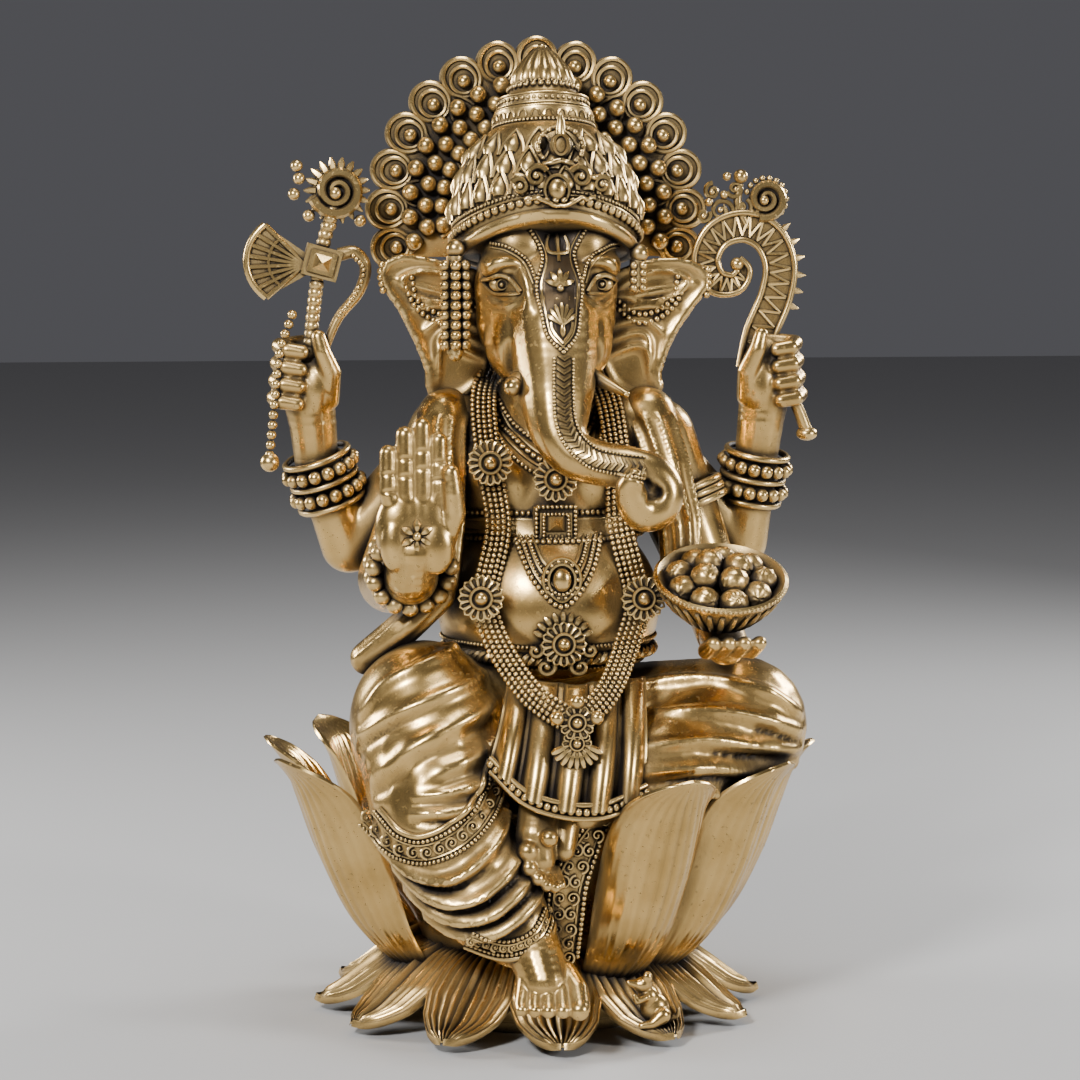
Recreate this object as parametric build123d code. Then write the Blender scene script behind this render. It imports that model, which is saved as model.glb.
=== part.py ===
from build123d import *
import os
from math import cos, radians, sin

# Seated four-armed elephant-headed figure on a lotus, an assembly of brass castings.
# Millimetres, +Z up, -Y to the front, origin on the table under the middle of the lotus.
# "Right" and "left" in a name are the figure's own, so right is towards -X.

# ---------------------------------------------------------------- driving dimensions
SEAT_HEIGHT = 58.0        # table to the top of the lotus seat
SEAT_RADIUS = 49.0        # top of the lotus core
WAIST_RADIUS = 32.0       # narrowest part of the lotus core
WAIST_HEIGHT = 17.0
CORE_WALL = 4.0
SEAT_THICKNESS = 6.0
SEAT_EDGE = 8.0           # upright band below the seat's top edge
PETAL_GAP = 0.15          # braze gap between an upper petal and the core

RING_BORE = 34.0          # lower petal ring
RING_RIM = 41.0
RING_HEIGHT = 8.0
RING_TIP_RADIUS = 63.0
RING_PETALS = 12
RING_TURN = 0.0           # the first lower petal points this far off the front
RING_LIFT = 0.6           # petal undersides stand this far off the table

CUP_TIP_RADIUS = 77.0     # upper petals
CUP_TIP_HEIGHT = 75.0
CUP_PITCH = 29.2          # angle from one upper petal to the next
CUP_FIRST = 26.0
CUP_PETALS = 10           # none stands where the right leg hangs
PETAL_THICKNESS = 3.0
PETAL_WIDTH = 32.0

PLATE_THICKNESS = 3.0     # plate that closes the underside
PLATE_GAP = 0.3
SCREW_CIRCLE = 26.0
SCREW_RADIUS = 1.5
SCREW_HEAD_RADIUS = 2.9
SCREW_LENGTH = 6.0
SCREW_COUNT = 4

STUD_RADIUS = 3.0         # threaded stud that holds the figure down on the seat
STUD_DEPTH = 20.0         # how far the stud runs up into the hips
NUT_FLATS = 10.0
NUT_THICKNESS = 5.0
SLIDE_GAP = 0.1           # a spigot in its bore

BAND_THICKNESS = 2.6      # belt and chest band, off the body
ROPE_RADIUS = 3.4         # garland, a flat rope of bead strings
ROSETTE_RADIUS = 5.6
ROSETTE_DEPTH = 5.0
WRIST_RADIUS = 6.4
ELBOW_RADIUS = 7.6
BRACELET_WIRE = 2.8
ARMLET_WIRE = 1.8
CUFF_GAP = 0.3            # a bangle's bore off the arm
BANGLE_WIRE = 2.6
BANGLE_PITCH = 6.6
BANGLE_STAND = 2.5        # wrist end of the forearm to the nearer bangle
BOWL_RADIUS = 17.5
BOWL_DEPTH = 13.0
BOWL_WALL = 1.6
BOWL_TILT = 24.0
BOWL_FOOT = 4.0           # flat spot in the middle of the bowl
SWEET_RADIUS = 3.9
SWEET_RISE = 4.4          # the upper sweets above the rim

CROWN_RADIUS = 25.4
CROWN_HEIGHT = 42.0       # rim to the foot of the finial
FINIAL_HEIGHT = 11.0
FINIAL_RADIUS = 9.3
NECK_RADIUS = 12.5
HALO_DROP = 14.0          # the fan plate ends this far below its middle
CROWN_TILT = 11.0
HALO_RADIUS = 41.5        # circle through the feather eyes
HALO_THICKNESS = 4.0
EYE_RADIUS = 6.0
EYE_COUNT = 15
EYE_PITCH = 15.0
HALO_BEAD_RADIUS = 2.3
BALL_SWELL = 1.02         # the joints of a limb stand proud of its cones by this share
HALO_BEADS = 19
HALO_BEAD_PITCH = 11.1


# ---------------------------------------------------------------- shape helpers
def at(x, y, z):
    """A point of the figure: x and y from the lotus's axis, z above the seat."""
    return Vector(x, y, SEAT_HEIGHT + z)


def ellipsoid(centre, rx, ry, rz, turn=(0, 0, 0)):
    """A closed egg at a point."""
    return Pos(*centre) * Rot(*turn) * scale(Sphere(1), by=(rx, ry, rz))


def rod(start, end, start_radius, end_radius):
    """A straight round bar or cone between two points."""
    along = end - start
    plane = Plane(origin=(start + end) / 2, z_dir=along)
    if abs(start_radius - end_radius) < 1e-6:
        return plane * Cylinder(start_radius, along.length)
    return plane * Cone(start_radius, end_radius, along.length)


def limb(*stations):
    """A rounded bar through (point, radius) stations: a ball at each, cones between."""
    shape = Pos(*stations[0][0]) * Sphere(stations[0][1] * BALL_SWELL)
    for (start, start_radius), (end, end_radius) in zip(stations, stations[1:]):
        shape = shape + rod(start, end, start_radius, end_radius)
        shape = shape + Pos(*end) * Sphere(end_radius * BALL_SWELL)
    return shape


def slab(outline, front, back, curved=True):
    """An upright plate: an outline of (x, z above seat), between two depths."""
    points = [(x, SEAT_HEIGHT + z) for x, z in outline]
    edge = Spline(*points, periodic=True) if curved else Polyline(*points, close=True)
    plane = Plane(origin=(0, back, 0), x_dir=(1, 0, 0), z_dir=(0, -1, 0))
    return extrude(plane * make_face(edge), back - front)


def turned(points):
    """A solid of revolution about Z from (radius, height) points."""
    face = make_face(Polyline(*points, close=True))
    return revolve(Plane.XZ * face, Axis.Z, 360)


def main_solid(shape):
    """The largest solid, so that a trim leaves no loose chip."""
    return max(shape.solids(), key=lambda solid: solid.volume)


def seated(shape, *others):
    """The shape cut back to sit on its neighbours."""
    for other in others:
        shape = shape - other
    return main_solid(shape)


def each_seated(shapes, *others):
    """A group of separate solids, each cut back to sit on its neighbours."""
    return Compound(children=[seated(shape, *others) for shape in shapes])


def around(count, pitch, first=0.0):
    """Angles in degrees, clockwise from the front as seen from above."""
    return [first + pitch * index for index in range(count)]


# ---------------------------------------------------------------- lotus
def lotus_core():
    """The hollow seat: a foot flange in the ring, a waist, and a flared cup."""
    foot = PLATE_THICKNESS
    spigot = RING_BORE - SLIDE_GAP
    inner_foot = SCREW_CIRCLE - 2 * SCREW_HEAD_RADIUS
    ceiling = SEAT_HEIGHT - SEAT_THICKNESS
    shoulder = core_shoulder()
    edge = SEAT_HEIGHT - SEAT_EDGE
    flare = core_flare()
    lining = Spline((WAIST_RADIUS - CORE_WALL, WAIST_HEIGHT),
                    (SEAT_RADIUS - CORE_WALL, ceiling),
                    tangents=[(0.1, 1), (0.25, 1)])
    outside = Polyline((inner_foot, foot), (spigot, foot), (spigot, RING_HEIGHT),
                       (shoulder, RING_HEIGHT), (WAIST_RADIUS, WAIST_HEIGHT))
    top = Polyline((SEAT_RADIUS, edge), (SEAT_RADIUS, SEAT_HEIGHT),
                   (0, SEAT_HEIGHT), (0, ceiling), (SEAT_RADIUS - CORE_WALL, ceiling))
    inside = Polyline((WAIST_RADIUS - CORE_WALL, WAIST_HEIGHT),
                      (WAIST_RADIUS - CORE_WALL, foot + 6), (inner_foot, foot + 6),
                      (inner_foot, foot))
    face = make_face([outside, flare, top, lining, inside])
    core = revolve(Plane.XZ * face, Axis.Z, 360)
    core = core - Pos(0, 0, ceiling) * Cylinder(STUD_RADIUS, 3 * SEAT_THICKNESS)
    for place in screw_places():
        core = core - place * Pos(0, 0, SCREW_LENGTH / 2) * Cylinder(
            SCREW_RADIUS, SCREW_LENGTH)
    return main_solid(core)


def core_flare(grow=0.0):
    """The core's flared side from waist to seat, as a curve, grown outwards."""
    return Spline((WAIST_RADIUS + grow, WAIST_HEIGHT),
                  (SEAT_RADIUS + grow, SEAT_HEIGHT - SEAT_EDGE),
                  tangents=[(0.1, 1), (0.25, 1)])


def core_clearance():
    """A solid that fills the core and its gap to the petals."""
    wide, edge = SEAT_RADIUS + PETAL_GAP, SEAT_HEIGHT - SEAT_EDGE
    rest = Polyline((wide, edge), (wide, SEAT_HEIGHT + 1), (0, SEAT_HEIGHT + 1), (0, 0),
                    (RING_BORE, 0), (RING_BORE, RING_HEIGHT + PETAL_GAP),
                    (core_shoulder(), RING_HEIGHT + PETAL_GAP),
                    (WAIST_RADIUS + PETAL_GAP, WAIST_HEIGHT))
    return revolve(Plane.XZ * make_face([core_flare(PETAL_GAP), rest]), Axis.Z, 360)


def core_shoulder():
    """Radius of the step where the core rests on the petal ring."""
    return (RING_BORE + RING_RIM) / 2


def screw_places():
    """Where each screw's head meets the outside of the base plate."""
    return PolarLocations(SCREW_CIRCLE, SCREW_COUNT, start_angle=45)


def base_screw():
    """One countersunk screw, its head flush with the plate's underside."""
    head = SCREW_HEAD_RADIUS - SCREW_RADIUS
    profile = [(0, 0), (SCREW_HEAD_RADIUS, 0), (SCREW_RADIUS, head),
               (SCREW_RADIUS, SCREW_LENGTH), (0, SCREW_LENGTH)]
    return turned(profile)


def base_plate(screws):
    """The disc that closes the underside, countersunk for its screws."""
    disc = Pos(0, 0, PLATE_THICKNESS / 2) * Cylinder(
        RING_BORE - PLATE_GAP, PLATE_THICKNESS)
    return seated(disc, *screws)


def tie_nut():
    """The hexagon nut under the seat."""
    nut = extrude(RegularPolygon(NUT_FLATS / 2, 6, major_radius=False), NUT_THICKNESS)
    nut = nut - Cylinder(STUD_RADIUS, 3 * NUT_THICKNESS)
    ceiling = SEAT_HEIGHT - SEAT_THICKNESS
    return main_solid(Pos(0, 0, ceiling - NUT_THICKNESS) * nut)


def tie_stud():
    """The stud from below the nut, through the seat, into the hips."""
    low = SEAT_HEIGHT - SEAT_THICKNESS - 2 * NUT_THICKNESS
    high = SEAT_HEIGHT + STUD_DEPTH
    return main_solid(Pos(0, 0, (low + high) / 2) * Cylinder(STUD_RADIUS, high - low))


def petal_wedge(curve, pitch, outline_plane, outline, reach):
    """One petal: a curved wall turned through its share of the circle, cut to outline."""
    wall = make_face(Plane.XZ * curve)
    wedge = revolve(wall, Axis.Z, pitch)
    wedge = Rot(0, 0, -90 - pitch / 2) * wedge
    mask = extrude(outline_plane * make_face(Spline(*outline, periodic=False) +
                                             Line(outline[-1], outline[0])), reach)
    return wedge & mask


def lower_petal_ring():
    """The foot ring with its eleven open petals, one casting."""
    tip, low = RING_TIP_RADIUS, RING_LIFT
    middle = (RING_BORE + tip) / 2
    under = Spline((RING_RIM - 4, low + 3), (middle, low), (tip, low + 4.5))
    over = Spline((tip, low + 6), (middle, low + PETAL_THICKNESS),
                  (RING_RIM - 4, RING_HEIGHT + 1))
    close_tip = Line((tip, low + 4.5), (tip, low + 6))
    close_root = Line((RING_RIM - 4, RING_HEIGHT + 1), (RING_RIM - 4, low + 3))
    curve = under + close_tip + over + close_root
    pitch = 360 / RING_PETALS
    half = (RING_RIM + 10) * sin(radians(pitch / 2))
    outline = [(-half * 0.7, -RING_RIM + 6), (-half, -RING_RIM - 10), (0, -tip),
               (half, -RING_RIM - 10), (half * 0.7, -RING_RIM + 6)]
    petal = petal_wedge(curve, pitch - 0.6, Plane.XY, outline, 3 * RING_HEIGHT)
    ring = Cylinder(RING_RIM, RING_HEIGHT) - Cylinder(RING_BORE, RING_HEIGHT)
    ring = Pos(0, 0, RING_HEIGHT / 2) * ring
    for angle in around(RING_PETALS, pitch, RING_TURN):
        ring = ring + Rot(0, 0, angle) * petal
    return main_solid(ring - Pos(0, 0, RING_HEIGHT) * Cylinder(RING_BORE, 2 * RING_HEIGHT))


def upper_petal():
    """One tall petal at the front, standing out from the core's waist."""
    tip, top, low = CUP_TIP_RADIUS, CUP_TIP_HEIGHT, RING_HEIGHT + 3
    wall = PETAL_THICKNESS
    root = WAIST_RADIUS - 2
    belly = (root + tip) / 2 + 4
    outer = Spline((root, low), (belly, low + 0.37 * (top - low)),
                   (tip - 8, top - 12), (tip, top))
    inner = Spline((tip - wall / 2, top), (tip - 8 - wall, top - 12),
                   (belly - wall, low + 0.4 * (top - low)), (root, low + 2 * wall))
    curve = outer + Line((tip, top), (tip - wall / 2, top)) + inner + Line(
        (root, low + 2 * wall), (root, low))
    half = PETAL_WIDTH / 2
    outline = [(-half * 0.4, low - 1), (-half, low + 0.5 * (top - low)),
               (-half * 0.85, low + 0.8 * (top - low)), (0, top),
               (half * 0.85, low + 0.8 * (top - low)),
               (half, low + 0.5 * (top - low)), (half * 0.4, low - 1)]
    plane = Plane(origin=(0, 0, 0), x_dir=(1, 0, 0), z_dir=(0, -1, 0))
    return petal_wedge(curve, CUP_PITCH - 0.6, plane, outline, 2 * tip)


# ---------------------------------------------------------------- seated figure
def hips():
    """The draped lap, flat where it sits on the seat, bored for the stud."""
    lap = ellipsoid(at(2, 0, 20), 42, 31, 23)
    lap = lap - Pos(0, 0, SEAT_HEIGHT - 50) * Box(300, 300, 100)
    return main_solid(lap - Pos(0, 0, SEAT_HEIGHT) * Cylinder(
        STUD_RADIUS, 2 * STUD_DEPTH))


def torso():
    """Belly, chest and neck in one loft of oval sections."""
    stations = [(28, 27, 24, 1, -8), (42, 30.5, 28, 1, -12), (58, 31, 28.5, 1.5, -13),
                (72, 28.5, 24, 1.5, -10), (88, 29, 20, 1, -6), (102, 29, 16, 1, -4),
                (113, 16, 13, 1, -3), (122, 12, 12, 1, -4)]
    sections = [Pos(*at(x, y, z)) * Ellipse(width, depth)
                for z, width, depth, x, y in stations]
    return loft(sections)


def right_leg():
    """The raised knee and the shin that hangs in front of the lotus."""
    knee = ellipsoid(at(-33, -32, 25), 21.5, 23, 25)
    shin = limb((at(-32, -43, 8), 18), (at(-22, -50, -10), 14.5), (at(-9, -53, -26), 9.5))
    return knee + shin


def left_leg():
    """The folded leg: the thigh out to the knee, the shin back to the middle."""
    thigh = limb((at(18, -12, 22), 18), (at(53, -22, 24), 19))
    shin = limb((at(53, -22, 24), 19), (at(10, -43, 9), 12))
    return thigh + shin


def right_foot():
    """The hanging foot, its toes over the front petal."""
    sole = limb((at(-7, -54, -30), 8), (at(-6.5, -60, -36), 6.5))
    toes = limb((at(-11.5, -65, -40), 3.4), (at(-2, -65, -39.5), 4.2))
    return sole + toes


def left_foot():
    """The folded leg's foot, toes down, under the hem."""
    return limb((at(-4, -50, 6), 7), (at(-8, -56, -2), 6), (at(-8, -58, -9), 4))


def front_cloth():
    """The pleated panel between the legs, with its hem."""
    outline = [(-13, 38), (25, 38), (23, 14), (14, 8), (1, 9), (-11, 14), (-19, 23)]
    return slab(outline, -58, -38, curved=False)


def filigree_strip():
    """The narrow pierced band that hangs over the edge of the seat."""
    outline = [(-3, 10), (12, 10), (10, -14), (8, -33), (0, -33), (0, -14)]
    return slab(outline, -52, -28, curved=False)


def right_sash():
    """The shawl over the right shoulder and its end hanging past the elbow."""
    shoulder = limb((at(-24, -6, 112), 6), (at(-25, -22, 96), 5.2), (at(-27, -32, 66), 4.4))
    tail = limb((at(-36, -30, 56), 5), (at(-48, -27, 46), 4.2))
    return shoulder + limb((at(-27, -32, 66), 4.4), (at(-36, -30, 56), 5)) + tail


def left_sash():
    """The shawl over the left shoulder, down to the forearm."""
    return limb((at(27, -5, 112), 7), (at(33, -19, 94), 6.6), (at(36, -27, 68), 5.6))


def band(height, depth, width, front, lift, drop):
    """A flat belt around the body at a height, before it is cut back to the body."""
    plane = Pos(*at(lift, drop, height - depth / 2))
    return extrude(plane * Ellipse(width, front), depth)


def buckle():
    """The square plaque at the front of the chest band."""
    return Pos(*at(1.6, -36, 79)) * Box(11, 8, 12)


def pendant():
    """The oval gem and the two chains that carry it on the belly."""
    gem = ellipsoid(at(2, -41, 67.5), 2.6, 3, 3.4)
    right = limb((at(-11, -36, 79), 1.9), (at(-7, -39, 70), 1.8), (at(1, -41, 64), 1.7))
    left = limb((at(14, -36, 79), 1.9), (at(11, -39, 70), 1.8), (at(3, -41, 64), 1.7))
    return gem + right + left


def garland():
    """The long bead rope from the shoulders to the lap."""
    right = [at(-17, -14, 114), at(-16, -29, 97), at(-14, -35, 80), at(-18, -40, 62),
             at(-15, -45, 50), at(-7, -52, 38), at(3.5, -57, 33)]
    left = [at(17, -14, 112), at(19, -29, 96), at(19, -34, 80), at(23, -38, 61),
            at(20, -43, 50), at(13, -52, 38), at(3.5, -57, 33)]
    rope = limb(*[(point, ROPE_RADIUS) for point in right])
    return rope + limb(*[(point, ROPE_RADIUS) for point in left])


def rosette(centre, radius, depth, lean=0.0):
    """A flower boss that faces the front, with a raised middle."""
    disc = Cylinder(radius, depth)
    boss = Pos(0, 0, depth / 2) * Sphere(radius * 0.4)
    return Pos(*centre) * Rot(90, 0, 0) * Rot(0, lean, 0) * (disc + boss)


def rosettes():
    """Flower bosses: four on the garland, one on the chest and one on the belly."""
    garland_bosses = [at(-16, -33, 97), at(-18.8, -43, 62.4), at(23, -41, 61.5),
                      at(3.8, -61, 33)]
    bosses = [rosette(centre, ROSETTE_RADIUS, ROSETTE_DEPTH) for centre in garland_bosses]
    bosses.append(rosette(at(1.3, -34, 92.5), ROSETTE_RADIUS, ROSETTE_DEPTH))
    bosses.append(rosette(at(2.4, -44, 50), ROSETTE_RADIUS * 1.3, ROSETTE_DEPTH))
    return bosses


def collar():
    """The short necklace under the trunk."""
    return limb((at(-14, -16, 108), 2.6), (at(-7, -25, 99), 2.6), (at(1, -28, 95), 2.6),
                (at(9, -25, 99), 2.6), (at(16, -16, 108), 2.6))


# ---------------------------------------------------------------- arms
REAR_ELBOWS = {"right": (-52, 4, 72), "left": (57, 4, 72)}
REAR_WRISTS = {"right": (-61, 0, 96), "left": (61, 0, 96)}


def rear_forearm(side):
    """The elbow and wrist stations of a rear arm."""
    return (at(*REAR_ELBOWS[side]), ELBOW_RADIUS), (at(*REAR_WRISTS[side]), WRIST_RADIUS)


def rear_arm(side):
    """A rear arm: shoulder, elbow, then up to the wrist."""
    sign = -1 if side == "right" else 1
    return limb((at(2 + sign * 24, 4, 102), 11), *rear_forearm(side))


def cuff(start, end, share, wire):
    """A round ring on a tapered arm, bored to clear it; start and end are stations."""
    (low, low_radius), (high, high_radius) = start, end
    bore = low_radius + (high_radius - low_radius) * share + CUFF_GAP
    ring = Torus(bore + wire / 2, wire) - Cylinder(bore, 4 * wire)
    return main_solid(Plane(origin=low + (high - low) * share, z_dir=high - low) * ring)


def rear_bangles(side):
    """Two bead bangles on the rear forearm, just under the hand."""
    elbow, wrist = rear_forearm(side)
    length = (wrist[0] - elbow[0]).length
    places = [BANGLE_STAND + BANGLE_PITCH * index for index in (0, 1)]
    return [cuff(elbow, wrist, 1 - place / length, BANGLE_WIRE) for place in places]


def rear_right_hand():
    """The raised fist around the axe's shaft."""
    return limb((at(-61, 0, 100), 6), (at(-62, -2, 112), 7.5), (at(-67, -3, 122), 7.5),
                (at(-64, -3, 127), 5))


def rear_left_hand():
    """The raised hand with the noose between finger and thumb."""
    return limb((at(61, 0, 100), 6), (at(62, -2, 112), 7.5), (at(67, -2, 122), 6.5),
                (at(64, -3, 129), 4.5))


def front_right_forearm():
    """The elbow and wrist stations of the arm with the open palm."""
    return (at(-41, -10, 64), 9.4), (at(-38, -38, 68), 7.6)


def front_right_arm():
    """The arm that brings the open palm forward."""
    return limb((at(-25, -6, 102), 12), *front_right_forearm())


def front_right_hand():
    """The open palm, four fingers up and the thumb at the side."""
    hand = ellipsoid(at(-37, -46, 81), 10.2, 4.8, 13)
    fingers = ((-43.5, 102, 1.9), (-39.4, 106, 2.0), (-35.3, 109, 2.1), (-31.6, 105, 2.0))
    for x, tip, radius in fingers:
        hand = hand + limb((at(x, -46, 86), radius + 0.3), (at(x, -46, tip), radius))
    return hand + limb((at(-30, -46, 80), 2.9), (at(-28.2, -47, 97), 2.1))


def front_right_bracelet():
    """The bead cuff behind the open palm."""
    return cuff(*front_right_forearm(), 0.92, BRACELET_WIRE)


def front_left_upper_arm():
    """The shoulder and elbow stations of the arm with the bowl."""
    return (at(31, -6, 101), 12), (at(47, -10, 60), 8.8)


def front_left_arm():
    """The arm that comes down and forward to the bowl."""
    return limb(*front_left_upper_arm(), (at(46, -32, 51), 6.6))


def front_left_armlet():
    """The ribbed band on the upper arm."""
    return cuff(*front_left_upper_arm(), 0.4, ARMLET_WIRE)


def front_left_hand():
    """The hand cupped under the bowl."""
    return limb((at(46, -36, 51), 6.4), (at(46, -45, 50), 5.6), (at(52, -54, 53), 2.8))


# ---------------------------------------------------------------- what the hands hold
def bowl_place():
    """The bowl's rim centre and tilt: it leans towards the front."""
    return Pos(*at(43.5, -49, 67)) * Rot(BOWL_TILT, 0, 0)


def bowl():
    """The open dish."""
    radius, depth, wall = BOWL_RADIUS, BOWL_DEPTH, BOWL_WALL
    outer = ThreePointArc((BOWL_FOOT, -depth), (radius * 0.74, -depth * 0.62), (radius, 0))
    inner = ThreePointArc((radius - wall, 0), (radius * 0.68, -depth * 0.52),
                          (BOWL_FOOT, wall - depth))
    rim = Line((radius, 0), (radius - wall, 0))
    foot = Polyline((BOWL_FOOT, wall - depth), (0, wall - depth), (0, -depth),
                    (BOWL_FOOT, -depth))
    face = make_face([outer, rim, inner, foot])
    return main_solid(bowl_place() * revolve(Plane.XZ * face, Axis.Z, 360))


def sweets():
    """Round sweets heaped in the bowl: a ring, three above it and one on the floor."""
    ball = Sphere(SWEET_RADIUS)
    reach = BOWL_RADIUS - SWEET_RADIUS - BOWL_WALL - 0.4
    outer = [bowl_place() * place * ball for place in PolarLocations(reach, 9)]
    heap = Pos(0, 0, SWEET_RISE)
    inner = [bowl_place() * heap * place * ball for place in
             PolarLocations(SWEET_RADIUS * 1.2, 3, start_angle=20)]
    floor = bowl_place() * Pos(0, 0, -5.5) * ball
    return outer + inner + [floor]


AXE_FOOT = (-75, -8, 92)
AXE_TOP = (-56, -6, 160)


def axe():
    """Sceptre with an axe blade, a square hub, a goad's hook and a shell on top."""
    foot, top = at(*AXE_FOOT), at(*AXE_TOP)
    shaft = limb((foot, 3), (top, 2))
    hub = at(-60, -6, 150)
    shape = shaft + Pos(*hub) * Rot(0, 15, 0) * Box(10, 7, 9)
    blade = slab([(-63, 153), (-69, 158), (-74, 163), (-80, 156), (-80.5, 147),
                  (-76, 140), (-71, 146), (-64, 147)], -8, -4)
    hook = limb((at(-54, -6, 152), 1.6), (at(-49, -6, 149), 1.6), (at(-50, -6, 143), 1.6),
                (at(-56, -6, 134), 1.4), (at(-59, -6, 126), 1.4))
    shell = Pos(*at(-55, -5, 169)) * Rot(90, 0, 0) * Cylinder(9, 5)
    return shape + blade + hook + shell


def noose():
    """The curled noose, a flat hook with a scroll above it and a stem between."""
    stations = [(59, 123), (63, 133), (66, 146), (64, 156), (56, 159.5), (48, 156),
                (45.5, 149), (49, 143), (56, 144)]
    curl = limb(*[(at(x, -1, z), 3.2) for x, z in stations])
    scroll = Pos(*at(63, 0, 167)) * Rot(90, 0, 0) * Cylinder(5.2, 5)
    stem = limb((at(59, 0, 159), 2.5), (at(56, 0, 171), 2.1))
    return curl + scroll + stem


def noose_tail():
    """The end of the noose below the hand, flared at its tip."""
    return limb((at(65, -3, 118), 2), (at(70, -4, 110), 1.7), (at(73.7, -5, 103.6), 2.6))


# ---------------------------------------------------------------- head
def head():
    """The elephant's head with its trunk curled to the figure's left."""
    skull = ellipsoid(at(1, -12, 142), 20, 21, 23)
    jaw = ellipsoid(at(1, -16, 124), 13.5, 16, 13)
    trunk = limb((at(1.3, -28, 127), 12), (at(1.4, -35, 120), 10.2),
                 (at(1, -40, 113), 9), (at(1.3, -43, 106), 6.8), (at(5, -46, 100.5), 6.1),
                 (at(12, -50, 98), 5.8), (at(18.5, -53, 97.4), 5.6), (at(25, -54, 95), 5),
                 (at(26.2, -54, 90), 4.5), (at(21.5, -55, 86.5), 4.6), (at(17, -56, 90), 4))
    return skull + jaw + trunk


def right_ear():
    """The ear towards -X, a thick leaf."""
    outline = [(-12, 146), (-26, 149.7), (-38.5, 151.5), (-43, 146.4), (-34.8, 132),
               (-31.2, 122.7), (-28.5, 113), (-17, 116), (-13, 130)]
    return slab(outline, -11, -6)


def left_ear():
    """The ear towards +X."""
    outline = [(15, 145), (29, 150), (40.5, 149.5), (45.4, 144.8), (36, 131),
               (32.2, 122), (32, 113.5), (20, 116), (15, 130)]
    return slab(outline, -11, -6)


def tusks():
    """The broken right tusk and the whole left one."""
    right = limb((at(-5, -30, 121), 3.2), (at(-10.6, -38, 118.5), 2.6))
    left = limb((at(9, -29, 121), 3), (at(18.7, -39, 115.5), 1.6))
    return right, left


def crown_place():
    """The middle of the crown's rim, leaning back."""
    return Pos(*at(1, -11, 156)) * Rot(-CROWN_TILT, 0, 0)


def crown():
    """The domed crown: rolled rim, dome, and the banded neck under the finial."""
    radius, high = CROWN_RADIUS, CROWN_HEIGHT
    side = Spline((radius, 0), (radius, 0.2 * high), (0.84 * radius, 0.48 * high),
                  (NECK_RADIUS + 1, 0.73 * high))
    top = Polyline((NECK_RADIUS + 1, 0.73 * high), (NECK_RADIUS, 0.78 * high),
                   (NECK_RADIUS, 0.93 * high), (FINIAL_RADIUS, high), (0, high),
                   (0, 0), (radius, 0))
    body = revolve(Plane.XZ * make_face([side, top]), Axis.Z, 360)
    return crown_place() * (body + Torus(radius, 1.8))


def crown_finial():
    """The ribbed bud on top of the crown."""
    base, high = FINIAL_RADIUS, FINIAL_HEIGHT
    side = Spline((base, 0), (base * 0.8, high * 0.45), (1.2, high))
    face = make_face([side, Polyline((1.2, high), (0, high), (0, 0), (base, 0))])
    bud = revolve(Plane.XZ * face, Axis.Z, 360)
    return crown_place() * Pos(0, 0, CROWN_HEIGHT) * bud


def crown_tassels():
    """The bead tassel at each side of the face, under the crown's rim."""
    right = limb((at(-24, -20, 152), 3.2), (at(-24.5, -21, 146), 3.8), (at(-24.5, -22, 130), 4))
    left = limb((at(25, -19, 151), 3), (at(25.4, -20, 145), 3.4))
    return right, left


def halo_centre():
    """The middle of the feather fan, behind the crown."""
    return at(1, 17, 164)


def halo():
    """The fan plate with fifteen round feather eyes at its edge."""
    centre = halo_centre()
    plane = Plane(origin=centre, x_dir=(1, 0, 0), z_dir=(0, -1, 0))
    face = plane * Circle(HALO_RADIUS)
    plate = extrude(face, HALO_THICKNESS)
    below = Pos(*(centre - Vector(0, 0, HALO_RADIUS + HALO_DROP))) * Box(
        3 * HALO_RADIUS, 30, 2 * HALO_RADIUS)
    plate = plate - below
    eye = extrude(plane * Circle(EYE_RADIUS), HALO_THICKNESS + 1)
    for angle in around(EYE_COUNT, EYE_PITCH, -EYE_PITCH * (EYE_COUNT - 1) / 2):
        shift = Pos(HALO_RADIUS * sin(radians(angle)), 0, HALO_RADIUS * cos(radians(angle)))
        plate = plate + shift * eye
    return main_solid(plate)


def halo_beads():
    """Two rows of round beads on the front of the fan."""
    centre = halo_centre() - Vector(0, HALO_THICKNESS + HALO_BEAD_RADIUS, 0)
    beads = []
    for row in (1, 2):
        reach = HALO_RADIUS - 2 * row * HALO_BEAD_RADIUS
        count = HALO_BEADS - (row - 1)
        first = -HALO_BEAD_PITCH * (count - 1) / 2
        for angle in around(count, HALO_BEAD_PITCH, first):
            shift = Vector(reach * sin(radians(angle)), 0, reach * cos(radians(angle)))
            beads.append(Pos(*(centre + shift)) * Sphere(HALO_BEAD_RADIUS - 0.05))
    return beads


def mouse():
    """The small mouse with a sweet, on the front left lower petal."""
    base = Vector(28, -49, RING_LIFT + PETAL_THICKNESS)
    body = ellipsoid(base + Vector(0, 0, 5.5), 4.5, 4.5, 5.5)
    face = limb((base + Vector(-1, -2, 9.5), 2.8), (base + Vector(-4, -5, 11.5), 1.4))
    return body + face


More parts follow.
